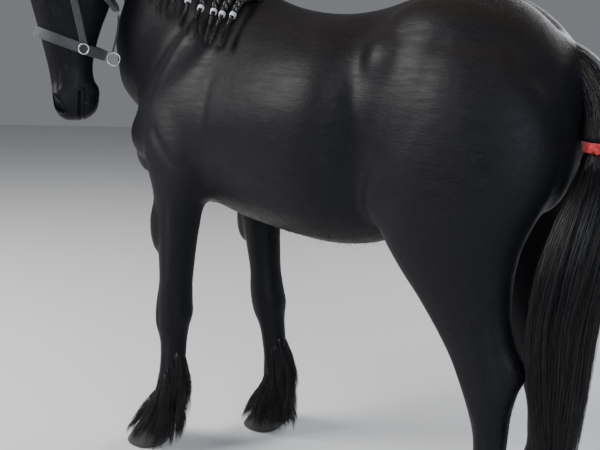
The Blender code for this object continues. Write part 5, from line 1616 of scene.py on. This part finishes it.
def wound_band(place, run, way, name, look, cad_node):
    """A white band of several turns of thread around the narrow end of a plait, as one closed coil."""
    way = unit(way - run * way.dot(run))
    across = np.cross(run, way)
    steps = BAND_TURNS * BAND_STEPS
    rings = []
    for i in range(steps + 1):
        angle = 2 * pi * i / BAND_STEPS
        along = -0.62 + 1.24 * i / steps
        out = across * cos(angle) + way * (0.93 * sin(angle))
        centre = place + run * along + out * 0.92
        rings.append(section(centre, unit(out), run, 0.20, 0.20, 0.165, sides=8))
    piece_of(name, tube_of(rings), look, "white_band", cad_node)


# Halter

RING_STEPS = 44
BUCKLE_STEPS = 48
RIBBON_POINTS = 60


def strap_form(path, ways, width, thickness, closed=False, each=4):
    """A strap with rounded edges along points, and its own map of metres across and along."""
    path, ways = np.asarray(path, float), np.asarray(ways, float)
    if closed:
        path = np.vstack([path[-3:], path, path[:3]])
        ways = np.vstack([ways[-3:], ways, ways[:3]])
    count = (len(path) - 1) * each + 1
    path = spaced(path[None], count)[0]
    ways = unit(spaced(ways[None], count)[0])
    if closed:
        path, ways = path[3 * each:-3 * each], ways[3 * each:-3 * each]
        run = unit(np.roll(path, -1, 0) - np.roll(path, 1, 0))
    else:
        run = unit(np.gradient(path, axis=0))
    normal = square_to(run, ways)
    across = np.cross(run, normal)
    half, edge = width / 2, thickness * 0.35
    above = [
        (half, thickness * 0.35),
        (half - edge * 0.4, thickness * 0.85),
        (half - edge * 1.6, thickness),
        (half * 0.45, thickness * 0.92),
    ]
    outline = [(-half + edge, 0), (half - edge, 0), *above, (0, thickness * 0.96)]
    outline += [(-a, b) for a, b in reversed(above)]
    rings = [[path[i] + across[i] * a + normal[i] * b for a, b in outline] for i in range(len(path))]
    points, faces = tube_of(rings, closed)
    step = np.linalg.norm(np.diff(path, axis=0), axis=1)
    length = np.concatenate([[0], np.cumsum(step)]) * CM
    places = np.array([(a * CM, length[i]) for i in range(len(path)) for a, _ in outline])
    if not closed:
        places = np.vstack([places, (0, 0), (0, length[-1])])
    return points, faces, places


def strap_piece(name, form, look, *nodes):
    points, faces, places = form
    made = object_of(name, mesh_from(name, points, faces), look)
    layer = made.data.uv_layers.new(name="strap")
    layer.data.foreach_set("uv", places[faces.ravel()].astype(np.float32).ravel())
    facing_out(made)
    kept(made, "halter", *nodes)


def ring_form(centre, axis, radius, thickness):
    """A round metal ring."""
    axis = unit(axis)
    first = unit(np.cross(axis, (0.3, 0.5, 0.8)))
    second = np.cross(axis, first)
    rings = []
    for turn in angles_of(RING_STEPS):
        out = first * cos(turn) + second * sin(turn)
        rings.append(hoop(centre + out * radius, out, axis, thickness, 12))
    return tube_of(rings, True)


def buckle_form(centre, along, out, long, wide, bar):
    """A rectangular buckle with round corners, a middle bar and a tongue."""
    across = np.cross(along, out)
    line = []
    for turn in angles_of(BUCKLE_STEPS):
        c, s = cos(turn), sin(turn)
        a = long * copysign(abs(c) ** 0.35, c)
        b = wide * copysign(abs(s) ** 0.35, s)
        line.append(centre + along * a + across * b)
    line = np.array(line)
    runs = unit(np.roll(line, -1, 0) - np.roll(line, 1, 0))
    frame_rings = [hoop(point, out, np.cross(run, out), bar, 10) for point, run in zip(line, runs)]
    forms = [tube_of(frame_rings, True)]
    middle_bar = (across * -wide, across * wide, 0.85)
    tongue = (along * 0.0 + out * bar, along * long + out * bar * 1.6, 0.7)
    for start, end, thick in (middle_bar, tongue):
        side = unit(np.cross(unit(end - start), out))
        spots = [centre + start + (end - start) * t for t in np.linspace(0, 1, 6)]
        forms.append(tube_of([hoop(spot, out, side, bar * thick, 10) for spot in spots]))
    return together(forms)


def around(skin, centre, ahead, across, angles, half_width, clearance, far):
    """Points around a centre just off the skin over the width of a strap, with the way out at each."""
    axis = np.cross(ahead, across)
    path, ways = [], []
    for angle in angles:
        way = ahead * cos(angle) + across * sin(angle)
        most = max(skin.reach(centre + axis * offset, way, far) for offset in (-half_width, 0, half_width))
        path.append(centre + way * (most + clearance))
        ways.append(way)
    return np.array(path), np.array(ways)


def evened(path, closed, passes=2):
    """The path with its small dips drawn outwards into smooth turns, never nearer to the middle."""
    middle = path.mean(0)
    for _ in range(passes):
        between = (np.roll(path, 1, 0) + np.roll(path, -1, 0)) / 2
        if not closed:
            between[[0, -1]] = path[[0, -1]]
        nearer = np.linalg.norm(between - middle, axis=1) <= np.linalg.norm(path - middle, axis=1)
        path = np.where(nearer[:, None], path, between)
    return path


def mirrored_line(path, ways):
    """A line from one side of the head over its middle, followed by its mirror image."""
    path, ways = np.array(path), np.array(ways)
    back = path[-2::-1] - RIGHT * (2 * off_head(path[-2::-1])[:, 1:2])
    back_ways = ways[-2::-1] - RIGHT * (2 * (ways[-2::-1] @ RIGHT)[:, None])
    return np.vstack([path, back]), np.vstack([ways, back_ways])


NOSEBAND = (40.3, 0, -2.5)  # its middle in the head's measures
NOSEBAND_TILT = radians(26)
NOSEBAND_POINTS = 22
NOSEBAND_SLACK = 3.4
CROWN_TOP = 5
CROWN_FRONT = -8.2
CROWN_SAMPLES = (-1.2, 0, 1.2)
THROAT_SAMPLES = (-0.8, 0, 0.8)
BESIDE_HEAD = 24  # far enough out to be clear of the head
OFF_SKIN = 0.15


def widest(skin, spots, way):
    """The farthest that the skin reaches along a way from spots in the head's measures."""
    return max(skin.reach(on_head(spot), way, BESIDE_HEAD) for spot in spots)


def build_noseband(skin, webbing):
    """The strap around the nose, slack below the jaw. Its line is given back."""
    ahead = FORWARD * cos(NOSEBAND_TILT) - DOWN * sin(NOSEBAND_TILT)
    angles = angles_of(NOSEBAND_POINTS)
    path, ways = around(skin, on_head(NOSEBAND), ahead, RIGHT, angles, 1.9, 0.12, 12.6)
    slack = [NOSEBAND_SLACK * max(0.0, -cos(angle)) ** 3 for angle in angles]
    band = evened(path, True) + ways * np.array(slack)[:, None]
    strap_piece("noseband", strap_form(band, ways, 3.5, 0.42, True), webbing, "halter_noseband")
    return band


def build_crown(skin, webbing, metal):
    """The cheek straps with the crown over the poll, their rings and joints, and the buckle."""
    line = []
    for u in (42.2, 38.5, 34.5, 30, 25.5, 21, 16.5, 12, 8, CROWN_TOP):
        v = CROWN_FRONT - 0.8 * (u - CROWN_TOP) / 37.2
        out = widest(skin, [(u, 0, v + lean) for lean in CROWN_SAMPLES], RIGHT)
        line.append((on_head((u, out + OFF_SKIN, v)), RIGHT))
    for i in range(1, 6):
        angle = radians(90 - 90 * i / 5)
        way = RIGHT * sin(angle) - DOWN * cos(angle)
        out = widest(skin, [(CROWN_TOP, 0, CROWN_FRONT + lean) for lean in CROWN_SAMPLES], way)
        line.append((on_head((CROWN_TOP, 0, CROWN_FRONT)) + way * (out + 0.25), way))
    path, ways = mirrored_line(*zip(*line))
    path = evened(path, False, 1)
    strap_piece("crown_strap", strap_form(path, ways, 2.5, 0.4), webbing, "halter_crown")
    for name, end, joint in (("right", 0, 7), ("left", -1, -8)):
        low = path[end] + DOWN * 1.2 + ways[end] * 1.7
        ring = ring_form(low, ways[end], 1.7, 0.26)
        piece_of("cheek_ring_" + name, ring, metal, "metal", "halter_ring_" + name)
        high = path[joint] - FORWARD * 1.2 + ways[joint] * 1.35
        ring = ring_form(high, ways[joint], 1.65, 0.24)
        piece_of("joint_ring_" + name, ring, metal, "metal", "halter_joint_" + name)
    spot = path[-5] + ways[-5] * 0.62
    along = unit(path[-6] - path[-4])
    piece_of("cheek_buckle", buckle_form(spot, along, ways[-5], 1.25, 1.5, 0.17), metal, "metal")


def build_throat_strap(skin, webbing):
    line = []
    for u, v in ((13.2, -10.3), (17.2, -12.3), (21.2, -14.6), (25, -16.8)):
        out = widest(skin, [(u + lean, 0, v - lean) for lean in THROAT_SAMPLES], RIGHT)
        line.append((on_head((u, out + OFF_SKIN, v)), RIGHT))
    for u, w, v in ((28.6, 6.0, -19.4), (30.8, 3.0, -20.3), (31.4, 0, -20.5)):
        line.append((on_head((u, w, v)), unit(RIGHT * w + DOWN * 5)))
    path, ways = mirrored_line(*zip(*line))
    strap_piece("throat_strap", strap_form(path, ways, 1.8, 0.36), webbing, "halter_throat")


def build_jaw_strap(band, webbing, metal):
    """The ring below the noseband and the strap from it to the throat strap."""
    behind = band[NOSEBAND_POINTS // 2] + unit(band[NOSEBAND_POINTS // 2] - band[0]) * 3.1
    piece_of("jaw_ring", ring_form(behind, RIGHT, 2.2, 0.3), metal, "metal", "halter_ring_jaw")
    u, _, v = off_head(behind)
    low, high = on_head((u - 2.7, 0, v)), on_head((33.0, 0, -21.0))
    shares = np.linspace(0, 1, 5)[:, None]
    jaw = low + (high - low) * shares - FORWARD * 0.5 * np.sin(pi * shares)
    strap_piece("jaw_strap", strap_form(jaw, [-FORWARD] * 5, 2.0, 0.36), webbing, "halter_jaw")


def build_halter(skin, webbing, metal):
    band = build_noseband(skin, webbing)
    build_crown(skin, webbing, metal)
    build_throat_strap(skin, webbing)
    build_jaw_strap(band, webbing, metal)


def build_ribbon(look):
    """A narrow ribbon wound around the waist of the tail, with a flat knot and two short ends on its left."""
    rows = numbered(TAIL, 160)
    forms = []

    def outline(angle, level, off):
        x, wide, deep, y = read_table(rows, level, 1, 0, 2, 3, 4)
        return np.array((x + (deep + off) * cos(angle), y + (wide + off) * sin(angle), level))

    for turn, (shift, rise) in enumerate(((-0.42, 0.25), (0.38, -0.2))):
        path, ways = [], []
        for angle in angles_of(RIBBON_POINTS):
            level = RIBBON_LEVEL + shift + rise * sin(angle + turn)
            path.append(outline(angle, level, 0.34 + 0.16 * turn + 0.05 * sin(angle * 7 + turn)))
            ways.append((cos(angle), sin(angle), 0))
        forms.append(strap_form(path, ways, 1.35, 0.20, True, 1)[:2])
    left = outline(-pi / 2, RIBBON_LEVEL, 1.1)
    forms.append(ellipsoid(left + (-0.4, -0.35, 0.1), (1.05, 0.62, 0.95), sides=24))
    for aside, drop, lean in ((-1.0, 1.1, -0.5), (0.9, 1.3, 0.7)):
        path = [
            left + (-0.3, -0.3, 0),
            left + (aside * 0.6, -0.6, -0.3),
            left + (aside, -0.45, -drop * 0.7),
            left + (aside + lean * 0.3, -0.2, -drop),
        ]
        forms.append(strap_form(path, [(0, -1, 0)] * 4, 1.0, 0.12)[:2])
    piece_of("ribbon", together(forms), look, "red_ribbon", "tail_ribbon")


# Short tufts and single hairs


def lie_of(points):
    """How the coat lies at points: back along the trunk and neck, down the limbs and the face."""
    x, y, z = points.T
    measures = off_head(points)
    on_face = smooth_step(measures[:, 0], 0, 6) * (np.abs(measures[:, 1]) < 12) * (measures[:, 2] > -24)
    limb = 1 - smooth_step(z, 78, 112)
    neck = smooth_step(-x, 50, 72) * smooth_step(z, 122, 140)
    way = np.array((1.0, 0, -0.45)) * (1 - limb)[:, None] + np.array((0.05, 0, -1.0)) * limb[:, None]
    way = way * (1 - neck)[:, None] + np.array((0.75, 0.25, -0.75)) * neck[:, None]
    way = way * (1 - on_face)[:, None] + DOWN * on_face[:, None]
    return unit(way)


def tuft_weight(points, normals):
    """Where short tufts break the form: under the jaw, belly, breast, backs of the lower limbs, flank, ear
    rims and crest.
    """
    x, y, z = points.T
    along, out, front = off_head(points).T
    head = (along > -22) & (along < 68) & (np.abs(out) < 15) & (front > -26)
    jaw = head & (along > 20) & (along < 62) & (normals @ FORWARD < -0.55)
    belly = (z < 108) & (z > 80) & (x > -40) & (x < 30) & (normals[:, 2] < -0.75)
    breast = (x < -70) & (z > 96) & (z < 125) & (np.abs(y) < 5)
    backs = (z > 40) & (z < 86) & (normals[:, 0] > 0.72)
    flank = (x > 10) & (x < 34) & (z > 96) & (z < 116) & (normals[:, 2] < -0.2)
    ears = (along < -4.5) & (along > -20) & (np.abs(out) < 12) & (front > -10)
    crest = (z > 158) & (x < -36) & (normals[:, 2] > 0.8) & ~head
    return 1.0 * jaw + 0.3 * belly + 0.5 * breast + 0.7 * backs + 0.15 * flank + 2.2 * ears + 0.9 * crest


TUFT_STEPS = 4
SINGLE_STEPS = 7
FEELERS = ((62.5, -1.0, 3.4, 26), (61.5, -6.6, 2.6, 26), (17.5, 5.2, 1.4, 7), (24.5, 0.2, 1.4, 8))
EAR_HAIRS = 420


def build_tufts(skin_obj, hair, count):
    """Short tufts that lie along the coat where it breaks the form."""
    mesh = skin_obj.data
    points, normals = table_points(mesh), normals_of(mesh)
    corners = triangles_of(mesh)
    middle, out = points[corners].mean(1), unit(normals[corners].mean(1))
    first, second, third = (points[corners[:, k]] for k in range(3))
    area = np.linalg.norm(np.cross(second - first, third - first), axis=1)
    weight = area * tuft_weight(middle, out)
    draw = np.random.default_rng(51)
    chosen = draw.choice(len(corners), count, p=weight / weight.sum())
    root, normal = middle[chosen], out[chosen]
    ear = off_head(root)[:, 0] < -4.5
    way = np.where(ear[:, None], -DOWN * 0.8 + FORWARD * 0.3, lie_of(root))
    way = unit(way - normal * (way * normal).sum(1, keepdims=True) + draw.normal(0, 0.15, (count, 3)))
    long = np.where(ear, 0.75, 1.5) * draw.uniform(0.6, 1.1, count)
    share = np.linspace(0, 1, TUFT_STEPS)[None, :, None]
    rise = np.where(ear, 0.20, 0.12)[:, None, None]
    lines = root[:, None] + way[:, None] * (share * long[:, None, None])
    lines = lines + normal[:, None] * (-0.06 + rise * share * (1.4 - share))
    ways = np.repeat(normal[:, None], TUFT_STEPS, 1)
    widths = np.where(ear, 0.045, 0.065)[:, None] * np.array((1.0, 0.9, 0.6, 0.1))
    start, end = points[:, 0].min(), points[:, 0].max()
    turn = np.arctan2(root[:, 1], root[:, 2] - 120) / (2 * pi) % 1.0
    roots = np.stack([turn, (root[:, 0] - start) / (end - start)], 1)
    tufts = hair_mesh("coat_tufts", lines, ways, widths, roots, draw.uniform(0, 0.6, count))
    kept(object_of("coat_tufts", tufts, hair), "coat")


class SingleHairs:
    """Single hairs that are drawn and gathered one by one."""

    def __init__(self, seed):
        self.draw = np.random.default_rng(seed)
        self.lines, self.ways, self.widths, self.roots = [], [], [], []

    def grow(self, root, way, bend, long, thick, place):
        share = np.linspace(0, 1, SINGLE_STEPS)[:, None]
        self.lines.append(root + way * (share * long) + bend * (share**2 * long))
        self.ways.append(np.repeat(unit(np.cross(way, (0.3, 0.5, 0.81)))[None], SINGLE_STEPS, 0))
        self.widths.append(thick * np.linspace(1, 0.25, SINGLE_STEPS))
        self.roots.append(place)

    def lashes(self, side):
        """Eyelashes of one eye."""
        draw = self.draw
        corner, rise, out = (eye_axes() * (1, side, 1)) @ AXES
        centre = on_head(EYE * (1, side, 1))
        for upper, count, long in ((True, 70, 1.9), (False, 30, 1.0)):
            for _ in range(count):
                a = draw.uniform(-0.86, 0.86) * LID_LENGTH
                b = lid_edge(np.array(a))[0 if upper else 1] * 1.06
                ball = sqrt(max(0.3, EYE_RADIUS**2 * 1.12 - min(a * a + b * b, 5.2)))
                root = centre + corner * a + rise * b + out * (ball + 0.10)
                way = out * 0.8 + rise * (0.35 if upper else -0.6) + corner * (a * 0.12)
                way = unit(way + draw.normal(0, 0.06, 3))
                bend = -rise * 0.45 if upper else rise * 0.15
                long_here = long * draw.uniform(0.7, 1.1)
                self.grow(root, way, bend, long_here, 0.028, (0.3 + 0.1 * side, a / 9 + 0.5))

    def feelers(self, skin, side):
        """Feelers of one side of the muzzle and around one eye."""
        draw = self.draw
        for u, v, spread, count in FEELERS:
            for _ in range(count):
                spot = np.array((u, 0, v)) + draw.normal(0, spread, 3) * (0.8, 0, 0.6)
                root, normal = skin.hit(on_head(spot + (0, side * 16, 0)), on_head(spot * (1, 0, 1)))
                if root is None:
                    continue
                way = unit(normal + DOWN * 0.25 + draw.normal(0, 0.25, 3))
                long = draw.uniform(2.0, 4.2) if v < 0 and u > 50 else draw.uniform(1.8, 3.0)
                self.grow(root - normal * 0.1, way, DOWN * 0.18, long, 0.022, (0.5 + 0.1 * side, u / 80))

    def ear_hair(self, side):
        """The hair that fills one ear."""
        draw = self.draw
        root, axis, opens, across = ear_frame(side)
        for _ in range(EAR_HAIRS):
            along = draw.uniform(2.8, 12.5)
            wide = np.interp(along, (2.8, 7, 13), (2.2, 2.8, 1.6))
            aside = draw.uniform(-1, 1)
            start = root + axis * along + across * (aside * wide * 0.85)
            start = start + opens * (0.2 + 1.5 * aside * aside)
            way = unit(axis * 0.9 + opens * 0.35 - across * aside * 0.55 + draw.normal(0, 0.12, 3))
            place = (0.7 + 0.1 * side, along / 18)
            self.grow(start, way, -across * aside * 0.3, draw.uniform(1.4, 2.8), 0.035, place)


def build_fine_hairs(skin, hair):
    """Eyelashes, feelers of the muzzle and around the eyes, and the hair that fills the ears."""
    hairs = SingleHairs(61)
    for side in SIDES.values():
        hairs.lashes(side)
        hairs.feelers(skin, side)
        hairs.ear_hair(side)
    parts = [np.array(part) for part in (hairs.lines, hairs.ways, hairs.widths, hairs.roots)]
    mesh = hair_mesh("fine_hairs", *parts, hairs.draw.uniform(0, 0.7, len(hairs.lines)))
    kept(object_of("fine_hairs", mesh, hair), "hair")


def mark_skin(skin):
    """Stores on each point of the skin which way its coat lies, and how much painted reflection it takes."""
    points, normals = table_points(skin.data), normals_of(skin.data)
    lie = np.abs(lie_of(points)[:, 2])
    x, y, z = points.T
    # Painted reflection: a browner tint on faces turned up, most on the croup and back, and a little on faces
    # turned down under the belly.
    top = smooth_step(normals[:, 2], 0.2, 0.9) * smooth_step(z, 120, 150)
    back = smooth_step(x, -20, 40)
    painted_reflection = np.clip(top * (0.35 + 0.65 * back) + 0.25 * smooth_step(-normals[:, 2], 0.5, 0.9), 0, 1)
    mark_points(skin.data, "lie", smooth_step(lie, 0.45, 0.8))
    mark_points(skin.data, "painted_reflection", painted_reflection)


# Stage


FLOOR_RADIUS = 14.0
FLOOR_DROP = 0.0005
LIT_POINT = Vector((0, 0, 1.0))

# Lights: name, place, width and height, share of the main light's power, and colour
LIGHTS = (
    ("key", (-3.4, -3.6, 3.6), (3.0, 3.0), 1.0, (1.0, 0.98, 0.95)),
    ("fill", (3.6, -3.4, 2.6), (3.2, 3.2), 0.36, (0.82, 0.90, 1.0)),
    ("back", (1.2, 4.4, 3.6), (3.4, 2.4), 0.34, (0.95, 0.97, 1.0)),
)


def build_floor(tint):
    mesh = bpy.data.meshes.new("floor")
    bm = bmesh.new()
    bmesh.ops.create_circle(bm, cap_ends=True, segments=96, radius=FLOOR_RADIUS)
    bm.to_mesh(mesh)
    bm.free()
    look, _ = shader_of("floor", tuple(tint), 0.85)
    floor = object_of("floor", mesh, look)
    floor.location.z = -FLOOR_DROP


def build_lights(scene, ambient, power):
    """An even light all round, and three soft lights."""
    world = bpy.data.worlds.new("studio")
    world.use_nodes = True
    feed(world, world.node_tree.nodes["Background"], {"Color": (0.86, 0.89, 0.95, 1), "Strength": ambient})
    scene.world = world
    for name, place, size, share, tint in LIGHTS:
        data = bpy.data.lights.new(name, "AREA")
        data.shape = "RECTANGLE"
        data.size, data.size_y = size
        data.energy = power * share
        data.color = tint
        lamp = bpy.data.objects.new(name, data)
        lamp.location = place
        lamp.rotation_euler = (LIT_POINT - Vector(place)).to_track_quat("-Z", "Y").to_euler()
        scene.collection.objects.link(lamp)


def build_camera(scene):
    """The camera at the photograph's place."""
    yaw, pitch, roll = (radians(value) for value in (CAMERA_YAW, CAMERA_PITCH, CAMERA_ROLL))
    ahead = Vector((-sin(yaw) * cos(pitch), cos(yaw) * cos(pitch), -sin(pitch)))
    right = Vector((cos(yaw), sin(yaw), 0))
    up = right.cross(ahead)
    rolled_right = right * cos(roll) + up * sin(roll)
    rolled_up = up * cos(roll) - right * sin(roll)
    data = bpy.data.cameras.new("camera")
    data.sensor_width = SENSOR
    data.lens = FOCAL_PIXELS / IMAGE_WIDTH * SENSOR
    camera = bpy.data.objects.new("camera", data)
    turn = Matrix((rolled_right, rolled_up, -ahead)).transposed().to_4x4()
    camera.matrix_world = Matrix.Translation(CAMERA_PLACE) @ turn
    scene.collection.objects.link(camera)
    scene.camera = camera


# The add-on: its settings, one operator for each group of pieces, and their panel


def colour_setting(name, description, *default):
    return FloatVectorProperty(name=name, description=description, subtype="COLOR", default=default)


def number_setting(name, description, default):
    return IntProperty(name=name, description=description, default=default, min=10)


class HorseSizes(PropertyGroup):
    voxel: FloatProperty(
        name="Skin grain",
        description="Fineness of the melted skin",
        default=0.95,
        min=0.3,
        max=2.0,
    )
    feather_locks: number_setting("Feather locks", "Locks on each lower leg", 120)
    tail_locks: number_setting("Tail locks", "Locks that fall from the ribbon", 130)
    tufts: number_setting("Coat tufts", "Short tufts on the coat", 9000)


class HorseColours(PropertyGroup):
    coat: colour_setting("Coat", "Short coat of the body", 0.0065, 0.0065, 0.0085)
    hair: colour_setting("Hair", "Mane, tail and feathers", 0.0055, 0.0056, 0.0072)
    horn: colour_setting("Horn", "Hooves", 0.032, 0.028, 0.026)
    eye: colour_setting("Eye", "Eyeball", 0.020, 0.010, 0.006)
    halter: colour_setting("Halter", "Webbing of the halter", 0.045, 0.048, 0.056)
    metal: colour_setting("Metal", "Halter fittings", 0.62, 0.60, 0.56)
    band: colour_setting("Bands", "Bands of the plaits", 0.60, 0.60, 0.63)
    ribbon: colour_setting("Ribbon", "Ribbon of the tail", 0.50, 0.008, 0.008)


class HorseStage(PropertyGroup):
    floor: colour_setting("Floor", "Floor under the horse", 0.70, 0.70, 0.70)
    ambient: FloatProperty(name="Ambient", description="Strength of the light all round", default=0.22, min=0)
    key: FloatProperty(
        name="Key light",
        description="Power of the main light",
        default=520,
        min=0,
        unit="POWER",
    )


class HorseSettings(PropertyGroup):
    sizes: PointerProperty(type=HorseSizes, name="Sizes", description="Fineness and numbers")
    colours: PointerProperty(type=HorseColours, name="Colours", description="Colours of the finishes")
    stage: PointerProperty(type=HorseStage, name="Stage", description="Floor and lights")


def settings_of(context):
    return context.scene.friesian_horse


def look_of(kind):
    """The finish of that kind, made once."""
    colours = settings_of(bpy.context).colours
    makers = {
        "short_coat": lambda: coat_look(colours),
        "long_hair": lambda: hair_look(colours),
        "hoof_horn": lambda: horn_look(colours),
        "eyeball": lambda: eye_look(colours),
        "webbing": lambda: webbing_look(colours),
        "steel": lambda: metal_look(colours),
        "white_thread": lambda: cloth_look("white_thread", tuple(colours.band), (500, 500, 900)),
        "ribbon_cloth": lambda: cloth_look("ribbon_cloth", tuple(colours.ribbon), (240, 240, 1300)),
    }
    return bpy.data.materials.get(kind) or makers[kind]()


FLESH = ("head", "torso", "ear_left", "ear_right") + tuple(
    limb_name + half for limb_name in LEAN for half in ("_upper", "_lower")
)


class HORSE_OT_skin(Operator):
    """Makes the skin of the whole horse"""

    bl_idname = "horse.skin"
    bl_label = "Skin"

    def execute(self, context):
        skin = build_skin(settings_of(context).sizes)
        skin.data.materials.append(look_of("short_coat"))
        mark_skin(skin)
        kept(skin, "coat", *FLESH)
        return {"FINISHED"}


class HORSE_OT_eyes(Operator):
    """Makes both eyeballs"""

    bl_idname = "horse.eyes"
    bl_label = "Eyes"

    def execute(self, context):
        for side_name in SIDES:
            build_eye(side_name, look_of("eyeball"))
        return {"FINISHED"}


class HORSE_OT_hooves(Operator):
    """Makes the four hooves"""

    bl_idname = "horse.hooves"
    bl_label = "Hooves"

    def execute(self, context):
        for limb_name in LEAN:
            build_hoof(limb_name, look_of("hoof_horn"))
        return {"FINISHED"}


class HORSE_OT_feathers(Operator):
    """Makes the long hair of the lower legs"""

    bl_idname = "horse.feathers"
    bl_label = "Feathers"

    def execute(self, context):
        for limb_name in LEAN:
            locks = feather_locks(limb_name, settings_of(context).sizes.feather_locks)
            hair_pieces("feather_" + limb_name, locks, look_of("long_hair"), 22, 7, 0.095, wave=0.35)
        return {"FINISHED"}


class HORSE_OT_tail(Operator):
    """Makes the tail with its ribbon"""

    bl_idname = "horse.tail"
    bl_label = "Tail"

    def execute(self, context):
        hair = look_of("long_hair")
        core = piece_of("tail_core", tail_core(), hair, "hair", "tail")
        mark_points(core.data, "shade", 0.1)
        locks = tail_locks(settings_of(context).sizes.tail_locks)
        hair_pieces("tail_hair", locks, hair, 32, 12, 0.10, shortest=0.8, wave=0.3)
        hair_pieces("dock_hair", dock_locks(DOCK_LOCKS), hair, 22, 8, 0.09, wave=0.15, stray=0.03)
        build_ribbon(look_of("ribbon_cloth"))
        return {"FINISHED"}


class HORSE_OT_mane(Operator):
    """Makes the plaited mane with its bands, and the forelock"""

    bl_idname = "horse.mane"
    bl_label = "Mane"

    def execute(self, context):
        skin = Surface(bpy.data.objects["skin"])
        build_mane(skin, look_of("long_hair"), look_of("white_thread"))
        build_forelock(look_of("long_hair"))
        return {"FINISHED"}


class HORSE_OT_short_hair(Operator):
    """Makes the short tufts, lashes, feelers and ear hair"""

    bl_idname = "horse.short_hair"
    bl_label = "Short hair"

    def execute(self, context):
        skin = bpy.data.objects["skin"]
        build_tufts(skin, look_of("long_hair"), settings_of(context).sizes.tufts)
        build_fine_hairs(Surface(skin), look_of("long_hair"))
        return {"FINISHED"}


class HORSE_OT_halter(Operator):
    """Makes the halter with its fittings"""

    bl_idname = "horse.halter"
    bl_label = "Halter"

    def execute(self, context):
        build_halter(Surface(bpy.data.objects["skin"]), look_of("webbing"), look_of("steel"))
        return {"FINISHED"}


class HORSE_OT_stage(Operator):
    """Makes the floor, the lights and the camera"""

    bl_idname = "horse.stage"
    bl_label = "Stage"

    def execute(self, context):
        settings = settings_of(context).stage
        build_floor(settings.floor)
        build_lights(context.scene, settings.ambient, settings.key)
        build_camera(context.scene)
        return {"FINISHED"}


STEPS = (
    HORSE_OT_skin, HORSE_OT_eyes, HORSE_OT_hooves, HORSE_OT_feathers, HORSE_OT_tail, HORSE_OT_mane,
    HORSE_OT_short_hair, HORSE_OT_halter, HORSE_OT_stage,
)


class HORSE_PT_panel(Panel):
    """Lists the horse's settings and steps"""

    bl_idname = "HORSE_PT_panel"
    bl_label = "Friesian horse"
    bl_space_type = "VIEW_3D"
    bl_region_type = "UI"
    bl_category = "Horse"

    def draw(self, context):
        settings = settings_of(context)
        for group in (settings.sizes, settings.colours, settings.stage):
            box = self.layout.box()
            for name in type(group).__annotations__:
                box.prop(group, name)
        for step in STEPS:
            self.layout.operator(step.bl_idname)


CLASSES = (HorseSizes, HorseColours, HorseStage, HorseSettings, *STEPS, HORSE_PT_panel)


def register():
    for each in CLASSES:
        bpy.utils.register_class(each)
    bpy.types.Scene.friesian_horse = PointerProperty(type=HorseSettings)


def unregister():
    del bpy.types.Scene.friesian_horse
    for each in reversed(CLASSES):
        bpy.utils.unregister_class(each)


def main():
    register()
    for step in STEPS:
        group, name = step.bl_idname.split(".")
        getattr(getattr(bpy.ops, group), name)()


if __name__ == "__main__":
    main()
